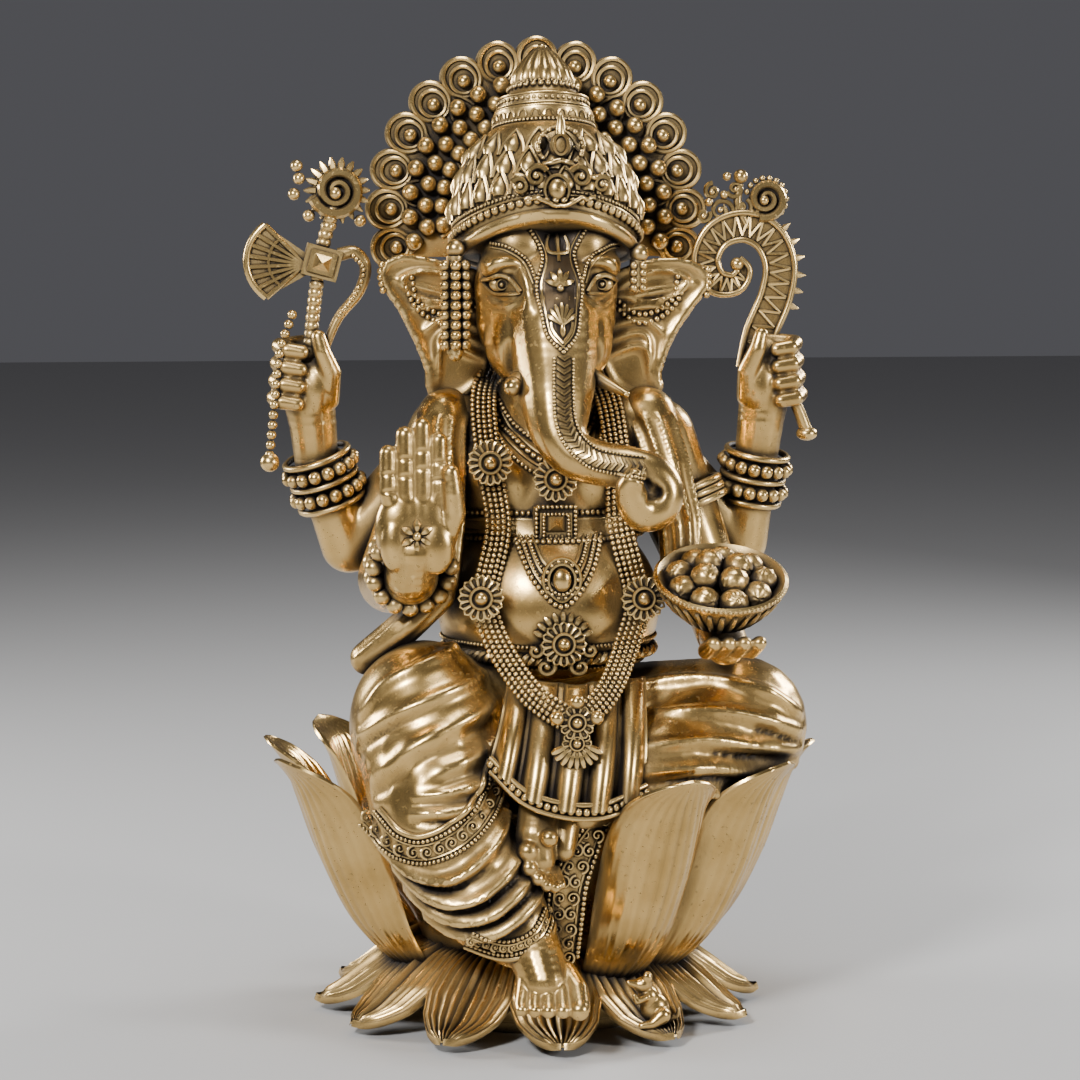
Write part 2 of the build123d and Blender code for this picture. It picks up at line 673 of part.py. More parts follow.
# ---------------------------------------------------------------- assembly
def assemble():
    """Every piece, each cut back to sit on the pieces made before it."""
    made = {}
    made["lotus_core"] = lotus_core()
    screws = [main_solid(place * base_screw()) for place in screw_places()]
    made["base_screws"] = Compound(children=screws)
    made["base_plate"] = base_plate(screws)
    made["tie_stud"] = tie_stud()
    made["tie_nut"] = tie_nut()
    made["lower_petal_ring"] = seated(lower_petal_ring(), made["lotus_core"])
    petal = seated(upper_petal(), core_clearance(), made["lower_petal_ring"])

    made["hips"] = hips()
    made["right_leg"] = seated(right_leg(), made["hips"], made["lotus_core"])
    made["left_leg"] = seated(left_leg(), made["hips"], made["lotus_core"],
                              made["right_leg"])
    legs = [made["hips"], made["right_leg"], made["left_leg"]]
    for index, angle in enumerate(around(CUP_PETALS, CUP_PITCH, CUP_FIRST)):
        turned_petal = Rot(0, 0, angle) * petal
        made[f"upper_petal_{index + 1:02d}"] = seated(turned_petal, *legs)
    petals = [made[f"upper_petal_{index:02d}"] for index in (1, CUP_PETALS)]
    made["torso"] = seated(torso(), *legs)
    made["right_foot"] = seated(right_foot(), made["right_leg"], made["lotus_core"],
                                made["lower_petal_ring"])
    made["front_cloth"] = seated(front_cloth(), *legs, made["lotus_core"], made["torso"])
    made["left_foot"] = seated(left_foot(), *legs, made["front_cloth"],
                               made["lotus_core"])
    made["filigree_strip"] = seated(filigree_strip(), *legs, made["lotus_core"],
                                    made["front_cloth"], made["left_foot"],
                                    made["right_foot"], *petals)

    made["head"] = seated(head(), made["torso"])
    chest = [made["torso"], made["head"]]
    for side in ("right", "left"):
        made[f"rear_{side}_arm"] = seated(rear_arm(side), made["torso"])
    made["front_right_arm"] = seated(front_right_arm(), made["torso"],
                                     made["rear_right_arm"], made["right_leg"])
    made["front_left_arm"] = seated(front_left_arm(), made["torso"],
                                    made["rear_left_arm"], made["left_leg"])
    for side in ("right", "left"):
        made[f"rear_{side}_bangles"] = each_seated(rear_bangles(side),
                                                   made[f"rear_{side}_arm"])
    made["rear_right_hand"] = seated(rear_right_hand(), made["rear_right_arm"],
                                     made["rear_right_bangles"])
    made["rear_left_hand"] = seated(rear_left_hand(), made["rear_left_arm"],
                                    made["rear_left_bangles"])
    made["front_right_hand"] = seated(front_right_hand(), made["front_right_arm"])
    made["front_right_bracelet"] = seated(front_right_bracelet(),
                                          made["front_right_arm"],
                                          made["front_right_hand"])
    made["front_left_armlet"] = seated(front_left_armlet(), made["rear_left_bangles"],
                                       made["front_left_arm"],
                                       made["rear_left_arm"], made["torso"])
    made["bowl"] = seated(bowl(), made["front_left_arm"])
    made["front_left_hand"] = seated(front_left_hand(), made["front_left_arm"],
                                     made["bowl"])
    made["sweets"] = each_seated(sweets(), made["bowl"])
    made["axe"] = seated(axe(), made["rear_right_hand"], made["rear_right_bangles"],
                         made["rear_right_arm"])
    made["noose"] = seated(noose(), made["rear_left_hand"], made["rear_left_bangles"])
    made["noose_tail"] = seated(noose_tail(), made["rear_left_hand"],
                                made["rear_left_bangles"], made["rear_left_arm"],
                                made["noose"])

    arms = [made["front_right_arm"], made["rear_right_arm"],
            made["front_left_arm"], made["rear_left_arm"]]
    made["right_sash"] = seated(right_sash(), *chest, *legs, *arms[:2],
                                made["front_right_bracelet"], made["front_right_hand"])
    made["left_sash"] = seated(left_sash(), *chest, *legs, *arms[2:],
                               made["front_left_armlet"])
    sashes = [made["right_sash"], made["left_sash"]]
    lap = [*legs, made["front_cloth"]]
    made["waist_belt"] = seated(band(46, 6, 32.5, 30.5, 1, -12), made["torso"], *lap, *sashes)
    plaque = band(80, 5, 31, 25, 1, -9) + buckle()
    made["chest_band"] = seated(plaque, made["torso"], *sashes, *arms, made["head"],
                                made["front_left_armlet"])
    made["pendant"] = seated(pendant(), made["torso"], made["chest_band"])
    made["collar"] = seated(collar(), *chest, *sashes)
    bands = [made["waist_belt"], made["chest_band"], made["pendant"], made["collar"]]
    made["garland"] = seated(garland(), *chest, *lap, *sashes, *bands)
    made["rosettes"] = each_seated(rosettes(), made["garland"], *chest, *lap, *bands,
                                   *sashes)

    right_side = [*arms[:2], made["right_sash"], made["garland"]]
    left_side = [*arms[2:], made["left_sash"], made["garland"]]
    made["right_ear"] = seated(right_ear(), *chest, *right_side)
    made["left_ear"] = seated(left_ear(), *chest, *left_side)
    ears = [made["right_ear"], made["left_ear"]]
    right_tusk, left_tusk = tusks()
    made["right_tusk"] = seated(right_tusk, made["head"])
    made["left_tusk"] = seated(left_tusk, made["head"])
    made["halo"] = seated(halo(), made["head"])
    made["crown"] = seated(crown(), made["head"], made["halo"], *ears)
    made["crown_finial"] = seated(crown_finial(), made["crown"], made["halo"])
    made["halo_beads"] = each_seated(halo_beads(), made["crown"], made["crown_finial"],
                                     made["halo"])
    made["crown_tassels"] = each_seated(crown_tassels(), made["head"], made["crown"],
                                        *ears)
    made["mouse"] = seated(mouse(), made["lower_petal_ring"],
                           made["upper_petal_01"])
    return made


os.makedirs("parts", exist_ok=True)
for node, shape in assemble().items():
    export_step(shape, f"parts/{node}.step")
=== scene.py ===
"""A seated brass figure on a lotus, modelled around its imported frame.

Shapes are worked out in millimetres and stored in metres.
"""
import logging
import math
from dataclasses import dataclass
from enum import Enum

import bpy
import numpy as np
from mathutils import Euler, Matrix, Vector
from mathutils.bvhtree import BVHTree


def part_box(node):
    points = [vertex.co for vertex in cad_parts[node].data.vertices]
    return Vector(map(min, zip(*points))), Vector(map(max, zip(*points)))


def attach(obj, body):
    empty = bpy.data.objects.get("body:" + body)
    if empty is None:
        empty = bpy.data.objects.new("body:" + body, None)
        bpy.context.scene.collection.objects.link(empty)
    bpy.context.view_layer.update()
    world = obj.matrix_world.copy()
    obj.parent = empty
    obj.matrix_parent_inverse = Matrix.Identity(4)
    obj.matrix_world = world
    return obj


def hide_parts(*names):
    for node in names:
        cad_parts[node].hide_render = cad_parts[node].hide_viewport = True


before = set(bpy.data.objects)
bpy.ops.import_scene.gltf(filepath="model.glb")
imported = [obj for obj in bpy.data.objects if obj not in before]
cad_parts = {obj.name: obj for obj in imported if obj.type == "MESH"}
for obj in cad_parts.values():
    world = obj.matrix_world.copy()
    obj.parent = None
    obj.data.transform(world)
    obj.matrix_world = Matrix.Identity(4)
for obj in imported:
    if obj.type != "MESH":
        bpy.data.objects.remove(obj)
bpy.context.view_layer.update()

LOG = logging.getLogger("figure")
MM = 0.001
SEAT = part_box("lotus_core")[1].z / MM
AROUND = 2 * math.pi
PYRAMID = [(0, 1, 4), (1, 2, 4), (2, 3, 4), (3, 0, 4), (3, 2, 1, 0)]


def at(x: float, y: float, z: float) -> np.ndarray:
    """A point of the figure, its height counted from the lotus seat."""
    return np.array([x, y, SEAT + z], float)


def points(*rows: tuple) -> np.ndarray:
    """Several points of the figure, their heights counted from the seat."""
    return np.array([at(*row[:3]) for row in rows])


def facing(angle: float) -> np.ndarray:
    """The direction at an angle in the plane that faces front."""
    return np.array([math.cos(angle), 0, math.sin(angle)])


def unit(vectors: np.ndarray) -> np.ndarray:
    """Vectors brought to length one."""
    return vectors / np.maximum(np.linalg.norm(vectors, axis=-1, keepdims=True), 1e-9)


def flow(controls: np.ndarray, count: int) -> np.ndarray:
    """A smooth curve through control points.

    Args:
        controls: The points or values to pass through, one row each.
        count: How many samples to return.

    Returns:
        The samples, evenly spread over the controls.
    """
    rows = np.asarray(controls, float)
    padded = np.vstack([2 * rows[0] - rows[1], rows, 2 * rows[-1] - rows[-2]])
    place = np.linspace(0, len(rows) - 1, count)
    index = np.minimum(place.astype(int), len(rows) - 2)
    t = (place - index)[:, None]
    a, b, c, d = (padded[index + step] for step in range(4))
    return 0.5 * (2 * b + (c - a) * t + (2 * a - 5 * b + 4 * c - d) * t ** 2
                  + (3 * b - a - 3 * c + d) * t ** 3)


def spaced(path: np.ndarray, pitch: float) -> np.ndarray:
    """Points set along a path at an even pitch."""
    length = np.sum(np.linalg.norm(np.diff(path, axis=0), axis=1))
    return even(path, max(2, int(round(length / pitch)) + 1))


def even(path: np.ndarray, count: int) -> np.ndarray:
    """A path resampled so that its points lie evenly along it."""
    steps = np.linalg.norm(np.diff(path, axis=0), axis=1)
    along = np.concatenate([[0], np.cumsum(steps)])
    places = np.linspace(0, along[-1], count)
    return np.stack([np.interp(places, along, path[:, axis]) for axis in range(path.shape[1])], axis=1)


def globe(segments: int, rings: int) -> tuple[np.ndarray, list]:
    """A unit ball.

    Args:
        segments: Faces around it.
        rings: Faces from pole to pole.

    Returns:
        Its points and its faces.
    """
    rows = [(0, 0, -1)]
    for ring in range(1, rings):
        tilt = math.pi * ring / rings
        for turn in range(segments):
            angle = AROUND * turn / segments
            rows.append((math.sin(tilt) * math.cos(angle), math.sin(tilt) * math.sin(angle),
                         -math.cos(tilt)))
    rows.append((0, 0, 1))
    faces = [(0, 1 + (turn + 1) % segments, 1 + turn) for turn in range(segments)]
    for ring in range(rings - 2):
        low, high = 1 + ring * segments, 1 + (ring + 1) * segments
        for turn in range(segments):
            after = (turn + 1) % segments
            faces.append((low + turn, low + after, high + after, high + turn))
    last, base = len(rows) - 1, 1 + (rings - 2) * segments
    faces += [(base + turn, base + (turn + 1) % segments, last) for turn in range(segments)]
    return np.array(rows, float), faces


BEAD = globe(8, 5)
BALL = globe(16, 10)
ROUND = globe(48, 32)


def only(thing: bpy.types.Object) -> None:
    """Selects one object alone and makes it active."""
    bpy.ops.object.select_all(action="DESELECT")
    thing.select_set(True)
    bpy.context.view_layer.objects.active = thing


def settle(thing: bpy.types.Object, kind: str, **settings: object) -> None:
    """Adds a modifier to an object and applies it."""
    only(thing)
    modifier = thing.modifiers.new(kind.title(), kind)
    for key, value in settings.items():
        setattr(modifier, key, value)
    bpy.ops.object.modifier_apply(modifier=modifier.name)


def raw_object(name: str, verts: np.ndarray, faces: list) -> bpy.types.Object:
    """An object from points in millimetres and faces."""
    mesh = bpy.data.meshes.new(name)
    mesh.from_pydata((np.asarray(verts, float) * MM).tolist(), [], faces)
    mesh.update()
    thing = bpy.data.objects.new(name, mesh)
    bpy.context.scene.collection.objects.link(thing)
    return thing


def outward(thing: bpy.types.Object) -> None:
    """Turns every face of a closed object outwards."""
    only(thing)
    bpy.ops.object.mode_set(mode="EDIT")
    bpy.ops.mesh.select_all(action="SELECT")
    bpy.ops.mesh.normals_make_consistent(inside=False)
    bpy.ops.object.mode_set(mode="OBJECT")


def read_points(thing: bpy.types.Object) -> np.ndarray:
    """An object's points in millimetres."""
    values = np.zeros(len(thing.data.vertices) * 3, np.float32)
    thing.data.vertices.foreach_get("co", values)
    return values.reshape(-1, 3).astype(float) / MM


def write_points(thing: bpy.types.Object, verts: np.ndarray) -> None:
    """Puts back an object's points, given in millimetres."""
    thing.data.vertices.foreach_set("co", (verts * MM).astype(np.float32).ravel())
    thing.data.update()


def read_normals(thing: bpy.types.Object) -> np.ndarray:
    """An object's normals, point by point."""
    values = np.zeros(len(thing.data.vertices) * 3, np.float32)
    thing.data.vertices.foreach_get("normal", values)
    return values.reshape(-1, 3).astype(float)


# ---------------------------------------------------------------- finishes
class Wire:
    """A shader socket that arithmetic can be written with."""

    def __init__(self, tree: bpy.types.NodeTree, socket: bpy.types.NodeSocket) -> None:
        """Keeps the tree and the socket."""
        self.tree = tree
        self.socket = socket

    def _math(self, operation: str, first: object, second: object) -> "Wire":
        """Adds a Math node.

        Args:
            operation: The node's operation.
            first: A wire or a number.
            second: A wire or a number.

        Returns:
            The node's result.
        """
        node = self.tree.nodes.new("ShaderNodeMath")
        node.operation = operation
        for place, value in enumerate((first, second)):
            if isinstance(value, Wire):
                self.tree.links.new(value.socket, node.inputs[place])
            else:
                node.inputs[place].default_value = value
        return Wire(self.tree, node.outputs[0])

    def __add__(self, other: object) -> "Wire":
        """Sum."""
        return self._math("ADD", self, other)

    def __radd__(self, other: object) -> "Wire":
        """Sum, the wire second."""
        return self._math("ADD", other, self)

    def __sub__(self, other: object) -> "Wire":
        """Difference."""
        return self._math("SUBTRACT", self, other)

    def __rsub__(self, other: object) -> "Wire":
        """Difference, the wire second."""
        return self._math("SUBTRACT", other, self)

    def __mul__(self, other: object) -> "Wire":
        """Product."""
        return self._math("MULTIPLY", self, other)

    def __rmul__(self, other: object) -> "Wire":
        """Product, the wire second."""
        return self._math("MULTIPLY", other, self)

    def __pow__(self, other: object) -> "Wire":
        """Power."""
        return self._math("POWER", self, other)


class Shader:
    """Builds one material's nodes."""

    def __init__(self, name: str) -> None:
        """Starts an empty material with its output."""
        self.material = bpy.data.materials.new(name)
        self.material.use_nodes = True
        self.tree = self.material.node_tree
        self.tree.nodes.clear()
        self.end = self.tree.nodes.new("ShaderNodeOutputMaterial")

    def node(self, kind: str, settings: dict | None = None, inputs: dict | None = None,
             output: int | str = 0) -> Wire:
        """Adds a node.

        Args:
            kind: The node's type.
            settings: Values set on the node itself, before its sockets.
            inputs: Numbers, colours or wires for its sockets, by name or place.
            output: Which output to return.

        Returns:
            The output as a wire.
        """
        made = self.tree.nodes.new(kind)
        for key, value in (settings or {}).items():
            if key == "stops":
                self._set_ramp(made, value)
            else:
                setattr(made, key, value)
        for key, value in (inputs or {}).items():
            if isinstance(value, Wire):
                self.tree.links.new(value.socket, made.inputs[key])
            else:
                made.inputs[key].default_value = value
        return Wire(self.tree, made.outputs[output])

    @staticmethod
    def _set_ramp(made: bpy.types.Node, stops: list) -> None:
        """Sets a ramp's stops, given as place and level."""
        ramp = made.color_ramp
        for element, (place, level) in zip(ramp.elements, stops):
            element.position = place
            element.color = (level, level, level, 1)

    def mix(self, factor: Wire, first: object, second: object) -> Wire:
        """A blend of two colours."""
        return self.node("ShaderNodeMix", {"data_type": "RGBA"},
                         {0: factor, 6: first, 7: second}, output=2)

    def finish(self, surface: Wire) -> bpy.types.Material:
        """Links the surface and returns the material."""
        self.tree.links.new(surface.socket, self.end.inputs["Surface"])
        return self.material


@dataclass(frozen=True)
class Surface:
    """A worked metal: burnished where hands reach, and dark in its hollows, where patina and painted shade
    lie.
    """

    name: str
    bright: tuple = (0.96, 0.67, 0.27)
    body: tuple = (0.50, 0.30, 0.085)
    # The colour painted into hollows: patina and painted shade together.
    dark: tuple = (0.010, 0.006, 0.004)
    # How far ambient occlusion looks for the painted shade of hollows, in millimetres.
    hollow_mm: float = 6.5
    polish: float = 0.25
    grain: float = 0.16
    # How strongly the painted shade and patina darken the hollows.
    darkening: float = 1.0

    def material(self) -> bpy.types.Material:
        """The finish as a material: cavity patina with painted shade from ambient occlusion, worn edges,
        pits and cloudy tone.
        """
        made = Shader(self.name)
        place = made.node("ShaderNodeTexCoord", output="Object")
        # Ambient occlusion darkens hollows and creases: painted shade, standing also for the real patina
        # there.
        shade = made.node("ShaderNodeAmbientOcclusion", {"samples": 6},
                          {"Distance": self.hollow_mm * MM}, output="AO")
        open_sky = made.node("ShaderNodeValToRGB", {"stops": [(0.58, 0.0), (0.96, 1.0)]}, {0: shade})
        edge = made.node("ShaderNodeNewGeometry", output="Pointiness")
        worn = made.node("ShaderNodeValToRGB", {"stops": [(0.50, 0.0), (0.58, 1.0)]}, {0: edge})
        # Low pointiness darkens concave spots: painted shade in creases, along with patina.
        groove = made.node("ShaderNodeValToRGB", {"stops": [(0.440, 0.10), (0.492, 1.0)]}, {0: edge})
        cloud = made.node("ShaderNodeTexNoise", None, {"Vector": place, "Scale": 90.0, "Detail": 5.0})
        speck = made.node("ShaderNodeTexNoise", None, {"Vector": place, "Scale": 800.0, "Detail": 4.0})
        pits = made.node("ShaderNodeValToRGB", {"stops": [(0.62, 0.0), (0.70, 1.0)]}, {0: speck})
        lit = made.node("ShaderNodeMath", {"operation": "MULTIPLY", "use_clamp": True},
                        {0: (open_sky + (cloud - 0.5) * 0.30) * groove, 1: 1 - pits * 0.35})
        tone = made.node("ShaderNodeMath", {"operation": "ADD", "use_clamp": True},
                         {0: worn * 0.5, 1: cloud * 0.7})
        metal = made.mix(tone, (*self.body, 1), (*self.bright, 1))
        # Where this is low the dark colour shows: painted shade in the hollows, with patina.
        shade_and_patina = lit ** self.darkening
        colour = made.mix(shade_and_patina, (*self.dark, 1), metal)
        rough = 0.62 - shade_and_patina * (0.62 - self.polish) + (cloud - 0.5) * 0.12
        height = cloud * 0.35 + speck * self.grain
        bump = made.node("ShaderNodeBump", None, {"Height": height, "Strength": 0.22, "Distance": 0.0004})
        surface = made.node("ShaderNodeBsdfPrincipled", None, {
            "Base Color": colour, "Metallic": 0.45 + shade_and_patina * 0.55, "Roughness": rough, "Normal": bump})
        return made.finish(surface)


class Finish(Enum):
    """The figure's finishes."""

    ANTIQUE = Surface("antique_brass")
    # A longer reach of the painted shade, so that the petals darken towards their roots.
    POLISHED = Surface("polished_brass", body=(0.46, 0.28, 0.080), hollow_mm=8.0, polish=0.19, grain=0.06)
    DEEP = Surface("deep_brass", bright=(0.16, 0.11, 0.06), body=(0.06, 0.04, 0.022), polish=0.45,
                   darkening=1.5)
    STEEL = Surface("brushed_steel", bright=(0.62, 0.63, 0.65), body=(0.40, 0.41, 0.43), polish=0.32)


class Slot(Enum):
    """The record's material slots."""

    ANTIQUE = "antique_brass"
    POLISHED = "polished_brass"
    STEEL = "steel"


MADE: dict[str, bpy.types.Material] = {}


def dress(thing: bpy.types.Object, finish: Finish) -> None:
    """Gives an object one finish alone, making its material once."""
    if finish.name not in MADE:
        MADE[finish.name] = finish.value.material()
    thing.data.materials.clear()
    thing.data.materials.append(MADE[finish.name])


def place_piece(thing: bpy.types.Object, *nodes: str, finish: Finish = Finish.ANTIQUE,
                slot: Slot = Slot.ANTIQUE, smooth: float = 50.0) -> bpy.types.Object:
    """Dresses a piece, rides it on the body and says what it stands for.

    Args:
        thing: The finished object.
        nodes: The CAD nodes it stands for.
        finish: Its finish.
        slot: The record's material slot; not used.
        smooth: Faces that meet under this angle are shaded as one surface, in degrees.

    Returns:
        The same object.
    """
    only(thing)
    bpy.ops.object.shade_smooth_by_angle(angle=math.radians(smooth))
    dress(thing, finish)
    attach(thing, "root")
    if nodes:
        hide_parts(*nodes)
    LOG.info("%s: %d faces, for %s", thing.name, len(thing.data.polygons), nodes or "trim")
    return thing


# ---------------------------------------------------------------- ways of making shapes
class Metal:
    """Gathers small shapes, in millimetres, into one piece."""

    def __init__(self) -> None:
        """Starts with nothing."""
        self.rows: list[np.ndarray] = []
        self.faces: list[tuple] = []
        self.count = 0

    def add(self, verts: np.ndarray, faces: list) -> None:
        """Adds points and their faces."""
        self.rows.append(np.asarray(verts, float))
        self.faces += [tuple(index + self.count for index in face) for face in faces]
        self.count += len(verts)

    def ball(self, centre: np.ndarray, radius: float | tuple, fine: bool = False) -> None:
        """Adds a ball, or an egg if radius has three values."""
        verts, faces = BALL if fine else BEAD
        self.add(verts * np.asarray(radius, float) + np.asarray(centre, float), faces)

    def beads(self, path: np.ndarray, radius: float, pitch: float = 2.0) -> None:
        """Adds beads along a path, pitch being in bead radii."""
        for centre in spaced(path, radius * pitch):
            self.ball(centre, radius)

    def tube(self, path: np.ndarray, radius: float | np.ndarray, sides: int = 8,
             closed: bool = False, flat: float = 1.0) -> None:
        """Adds a round bar along a path.

        Args:
            path: The points it follows.
            radius: One radius, or one for each point.
            sides: Faces around it.
            closed: Whether its end joins its start.
            flat: How thick it is across its first normal, as a share of its width.
        """
        path = np.asarray(path, float)
        count = len(path)
        radii = np.broadcast_to(np.asarray(radius, float), (count,))
        ahead = np.roll(path, -1, axis=0) - np.roll(path, 1, axis=0)
        if not closed:
            ahead[0], ahead[-1] = path[1] - path[0], path[-1] - path[-2]
        ahead = unit(ahead)
        side = np.cross(ahead[0], (0, 1, 0.03))
        side = unit(side if np.linalg.norm(side) > 0.05 else np.cross(ahead[0], (1, 0, 0)))
        rows = []
        for index in range(count):
            side = unit(side - ahead[index] * np.dot(side, ahead[index]))
            other = np.cross(ahead[index], side)
            turns = np.linspace(0, AROUND, sides, endpoint=False)[:, None]
            rows.append(path[index] + radii[index] * (np.cos(turns) * side + flat * np.sin(turns) * other))
        faces = []
        for index in range(count if closed else count - 1):
            low, high = index * sides, ((index + 1) % count) * sides
            for turn in range(sides):
                after = (turn + 1) % sides
                faces.append((low + turn, low + after, high + after, high + turn))
        if not closed:
            faces.append(tuple(reversed(range(sides))))
            faces.append(tuple((count - 1) * sides + turn for turn in range(sides)))
        self.add(np.vstack(rows), faces)

    def flower(self, centre: np.ndarray, radius: float, petals: int = 14,
               facing: tuple = (0, -1, 0)) -> None:
        """Adds a rosette: a ring of petals, a ring, and a domed middle.

        Args:
            centre: Where its back rests.
            radius: To the petals' tips.
            petals: How many.
            facing: The way it looks.
        """
        out = unit(np.asarray(facing, float))
        side = unit(np.cross((0, 0, 1), out))
        up = np.cross(out, side)
        centre = np.asarray(centre, float)
        for turn in range(petals):
            angle = AROUND * turn / petals
            way = side * math.cos(angle) + up * math.sin(angle)
            beside = np.cross(way, out)
            half = math.pi / petals * 0.88
            loop = np.array([way * along + beside * half * wide for along, wide in
                             ((0.5, 0.45), (0.74, 0.72), (0.91, 0.72), (1.0, 0.0), (0.91, -0.72),
                              (0.74, -0.72),
                              (0.5, -0.45))])
            self.tube(centre + loop * radius + out * radius * 0.13, radius * 0.062, 5)
        turns = np.linspace(0, AROUND, 24, endpoint=False)[:, None]
        ring = centre + 0.47 * radius * (np.cos(turns) * side + np.sin(turns) * up) + out * radius * 0.26
        self.tube(ring, radius * 0.075, 6, closed=True)
        self.tube(np.array([centre - out * radius * 0.1, centre + out * radius * 0.06]), radius * 0.86, 24)
        self.tube(np.array([centre, centre + out * radius * 0.16]), radius * 0.55, 24)
        self.ball(centre + out * radius * 0.22, radius * 0.31, fine=True)

    def scroll(self, centre: np.ndarray, start: float, turns: float, reach: float, thick: float,
               hand: int = 1) -> None:
        """Adds a flat curl that faces front.

        Args:
            centre: The curl's eye.
            start: The angle of its outer end, in degrees.
            turns: How many turns it makes.
            reach: Its outer radius.
            thick: The bar's radius at the outer end.
            hand: 1 or -1, the way it winds.
        """
        share = np.linspace(0, 1, 12 + int(turns * 16))
        angle = math.radians(start) + hand * share * turns * AROUND
        radius = reach * (1 - 0.86 * share)
        path = np.stack([radius * np.cos(angle), np.zeros_like(share), radius * np.sin(angle)], axis=1)
        self.tube(path + centre, thick * (1 - 0.45 * share), 6)
        self.ball(path[-1] + centre, thick * 1.25)

    def plate(self, outline: np.ndarray, front: float, back: float) -> None:
        """Adds an upright plate from an outline of x and height, between two depths."""
        ring = np.asarray(outline, float)
        count = len(ring)
        near = np.stack([ring[:, 0], np.full(count, front), ring[:, 1] + SEAT], axis=1)
        far = near + np.array([0, back - front, 0])
        sides = [(i, (i + 1) % count, count + (i + 1) % count, count + i) for i in range(count)]
        self.add(np.vstack([near, far]),
                 [tuple(range(count)), tuple(reversed(range(count, 2 * count))), *sides])

    def lathe(self, profile: np.ndarray, segments: int = 96, ribs: int = 0, rib: float = 0.0) -> None:
        """Adds a turned shape about Z.

        Args:
            profile: Radius and height from the bottom up, both ends on the axis.
            segments: Faces around it.
            ribs: How many ribs stand out around it.
            rib: How far they stand out.
        """
        profile = np.asarray(profile, float)
        turns = np.linspace(0, AROUND, segments, endpoint=False)
        wave = 1 + rib * np.abs(np.cos(turns * ribs / 2)) if ribs else np.ones(segments)
        inner = profile[1:-1]
        rows = [np.stack([r * wave * np.cos(turns), r * wave * np.sin(turns), np.full(segments, z)], axis=1)
                for r, z in inner]
        verts = np.vstack([[[0, 0, profile[0, 1]]], *rows, [[0, 0, profile[-1, 1]]]])
        last = len(verts) - 1
        faces = [(0, 1 + (t + 1) % segments, 1 + t) for t in range(segments)]
        for row in range(len(inner) - 1):
            low, high = 1 + row * segments, 1 + (row + 1) * segments
            faces += [(low + t, low + (t + 1) % segments, high + (t + 1) % segments, high + t)
                      for t in range(segments)]
        base = 1 + (len(inner) - 1) * segments
        faces += [(base + t, base + (t + 1) % segments, last) for t in range(segments)]
        self.add(verts, faces)

    def leaf(self, spine: np.ndarray, width: np.ndarray, curl: np.ndarray, veins: int, vein: float,
             thick: float, across: int = 41, twist: float = 0.0) -> None:
        """Adds a petal that stands at the front, its spine in radius and height.

        Args:
            spine: Radius and height from root to tip.
            width: Half the width at each point of the spine.
            curl: The radius that its cross-section bends to, at each point.
            veins: Grooves on each side of the middle.
            vein: The grooves' depth.
            thick: The wall.
            across: Points across it.
            twist: How far one edge stands out, as a share of the width.
        """
        rise = unit(np.gradient(spine, axis=0))
        normal = np.stack([rise[:, 1], -rise[:, 0]], axis=1)
        share = np.linspace(-1, 1, across)
        along = np.linspace(0, 1, len(spine))[:, None]
        arc = share[None, :] * width[:, None]
        angle = arc / curl[:, None]
        x = curl[:, None] * np.sin(angle)
        sink = curl[:, None] * (1 - np.cos(angle))
        calm = np.clip((1 - along) * 7, 0, 1) * (1 - np.abs(share[None, :]) ** 6)
        relief = vein * np.cos(share[None, :] * math.pi * 2 * veins) * calm
        midrib = np.exp(-(share[None, :] / 0.05) ** 2) * np.clip((1 - along) * 4, 0, 1)
        relief = relief + 2.4 * vein * midrib
        relief = relief + 1.6 * vein * np.exp(-((np.abs(share[None, :]) - 0.97) / 0.04) ** 2)
        shells = []
        wall = thick * np.clip(np.minimum(1 - np.abs(share[None, :]) ** 8, (1 - along) * 9), 0.25, 1)
        for lift in (relief, -wall - relief):
            radius = spine[:, :1] - sink * np.abs(normal[:, :1]) + lift * normal[:, :1] + twist * x
            height = spine[:, 1:] + sink * np.abs(normal[:, 1:]) * 0.35 + lift * normal[:, 1:]
            shells.append(np.stack([x, -radius, height], axis=2))
        self.slab(*shells)

    def slab(self, front: np.ndarray, back: np.ndarray) -> None:
        """Adds a closed wall between two grids of points.

        Args:
            front: The front face, as rows of columns of points.
            back: The back face, with as many rows and columns.
        """
        rows, cols = front.shape[:2]
        size = rows * cols
        faces = []
        for row in range(rows - 1):
            for col in range(cols - 1):
                a = row * cols + col
                faces.append((a, a + 1, a + 1 + cols, a + cols))
                faces.append((size + a, size + a + cols, size + a + 1 + cols, size + a + 1))
        rim = [*range(cols), *[r * cols + cols - 1 for r in range(1, rows)],
               *range(rows * cols - 2, (rows - 1) * cols - 1, -1),
               *[r * cols for r in range(rows - 2, 0, -1)]]
        faces += [(a, size + a, size + b, b) for a, b in zip(rim, rim[1:] + rim[:1])]
        self.add(np.vstack([front.reshape(-1, 3), back.reshape(-1, 3)]), faces)

    def moved(self, turn: float = 0.0, tilt: float = 0.0, shift: tuple = (0, 0, 0)) -> "Metal":
        """All of it tilted about X, turned about Z, both in degrees, then shifted."""
        matrix = np.array(Euler((math.radians(tilt), 0, math.radians(turn))).to_matrix())
        self.rows = [row @ matrix.T + np.asarray(shift, float) for row in self.rows]
        return self

    def raw(self, name: str) -> bpy.types.Object:
        """The gathered shapes as an object."""
        thing = raw_object(name, np.vstack(self.rows), self.faces)
        outward(thing)
        return thing


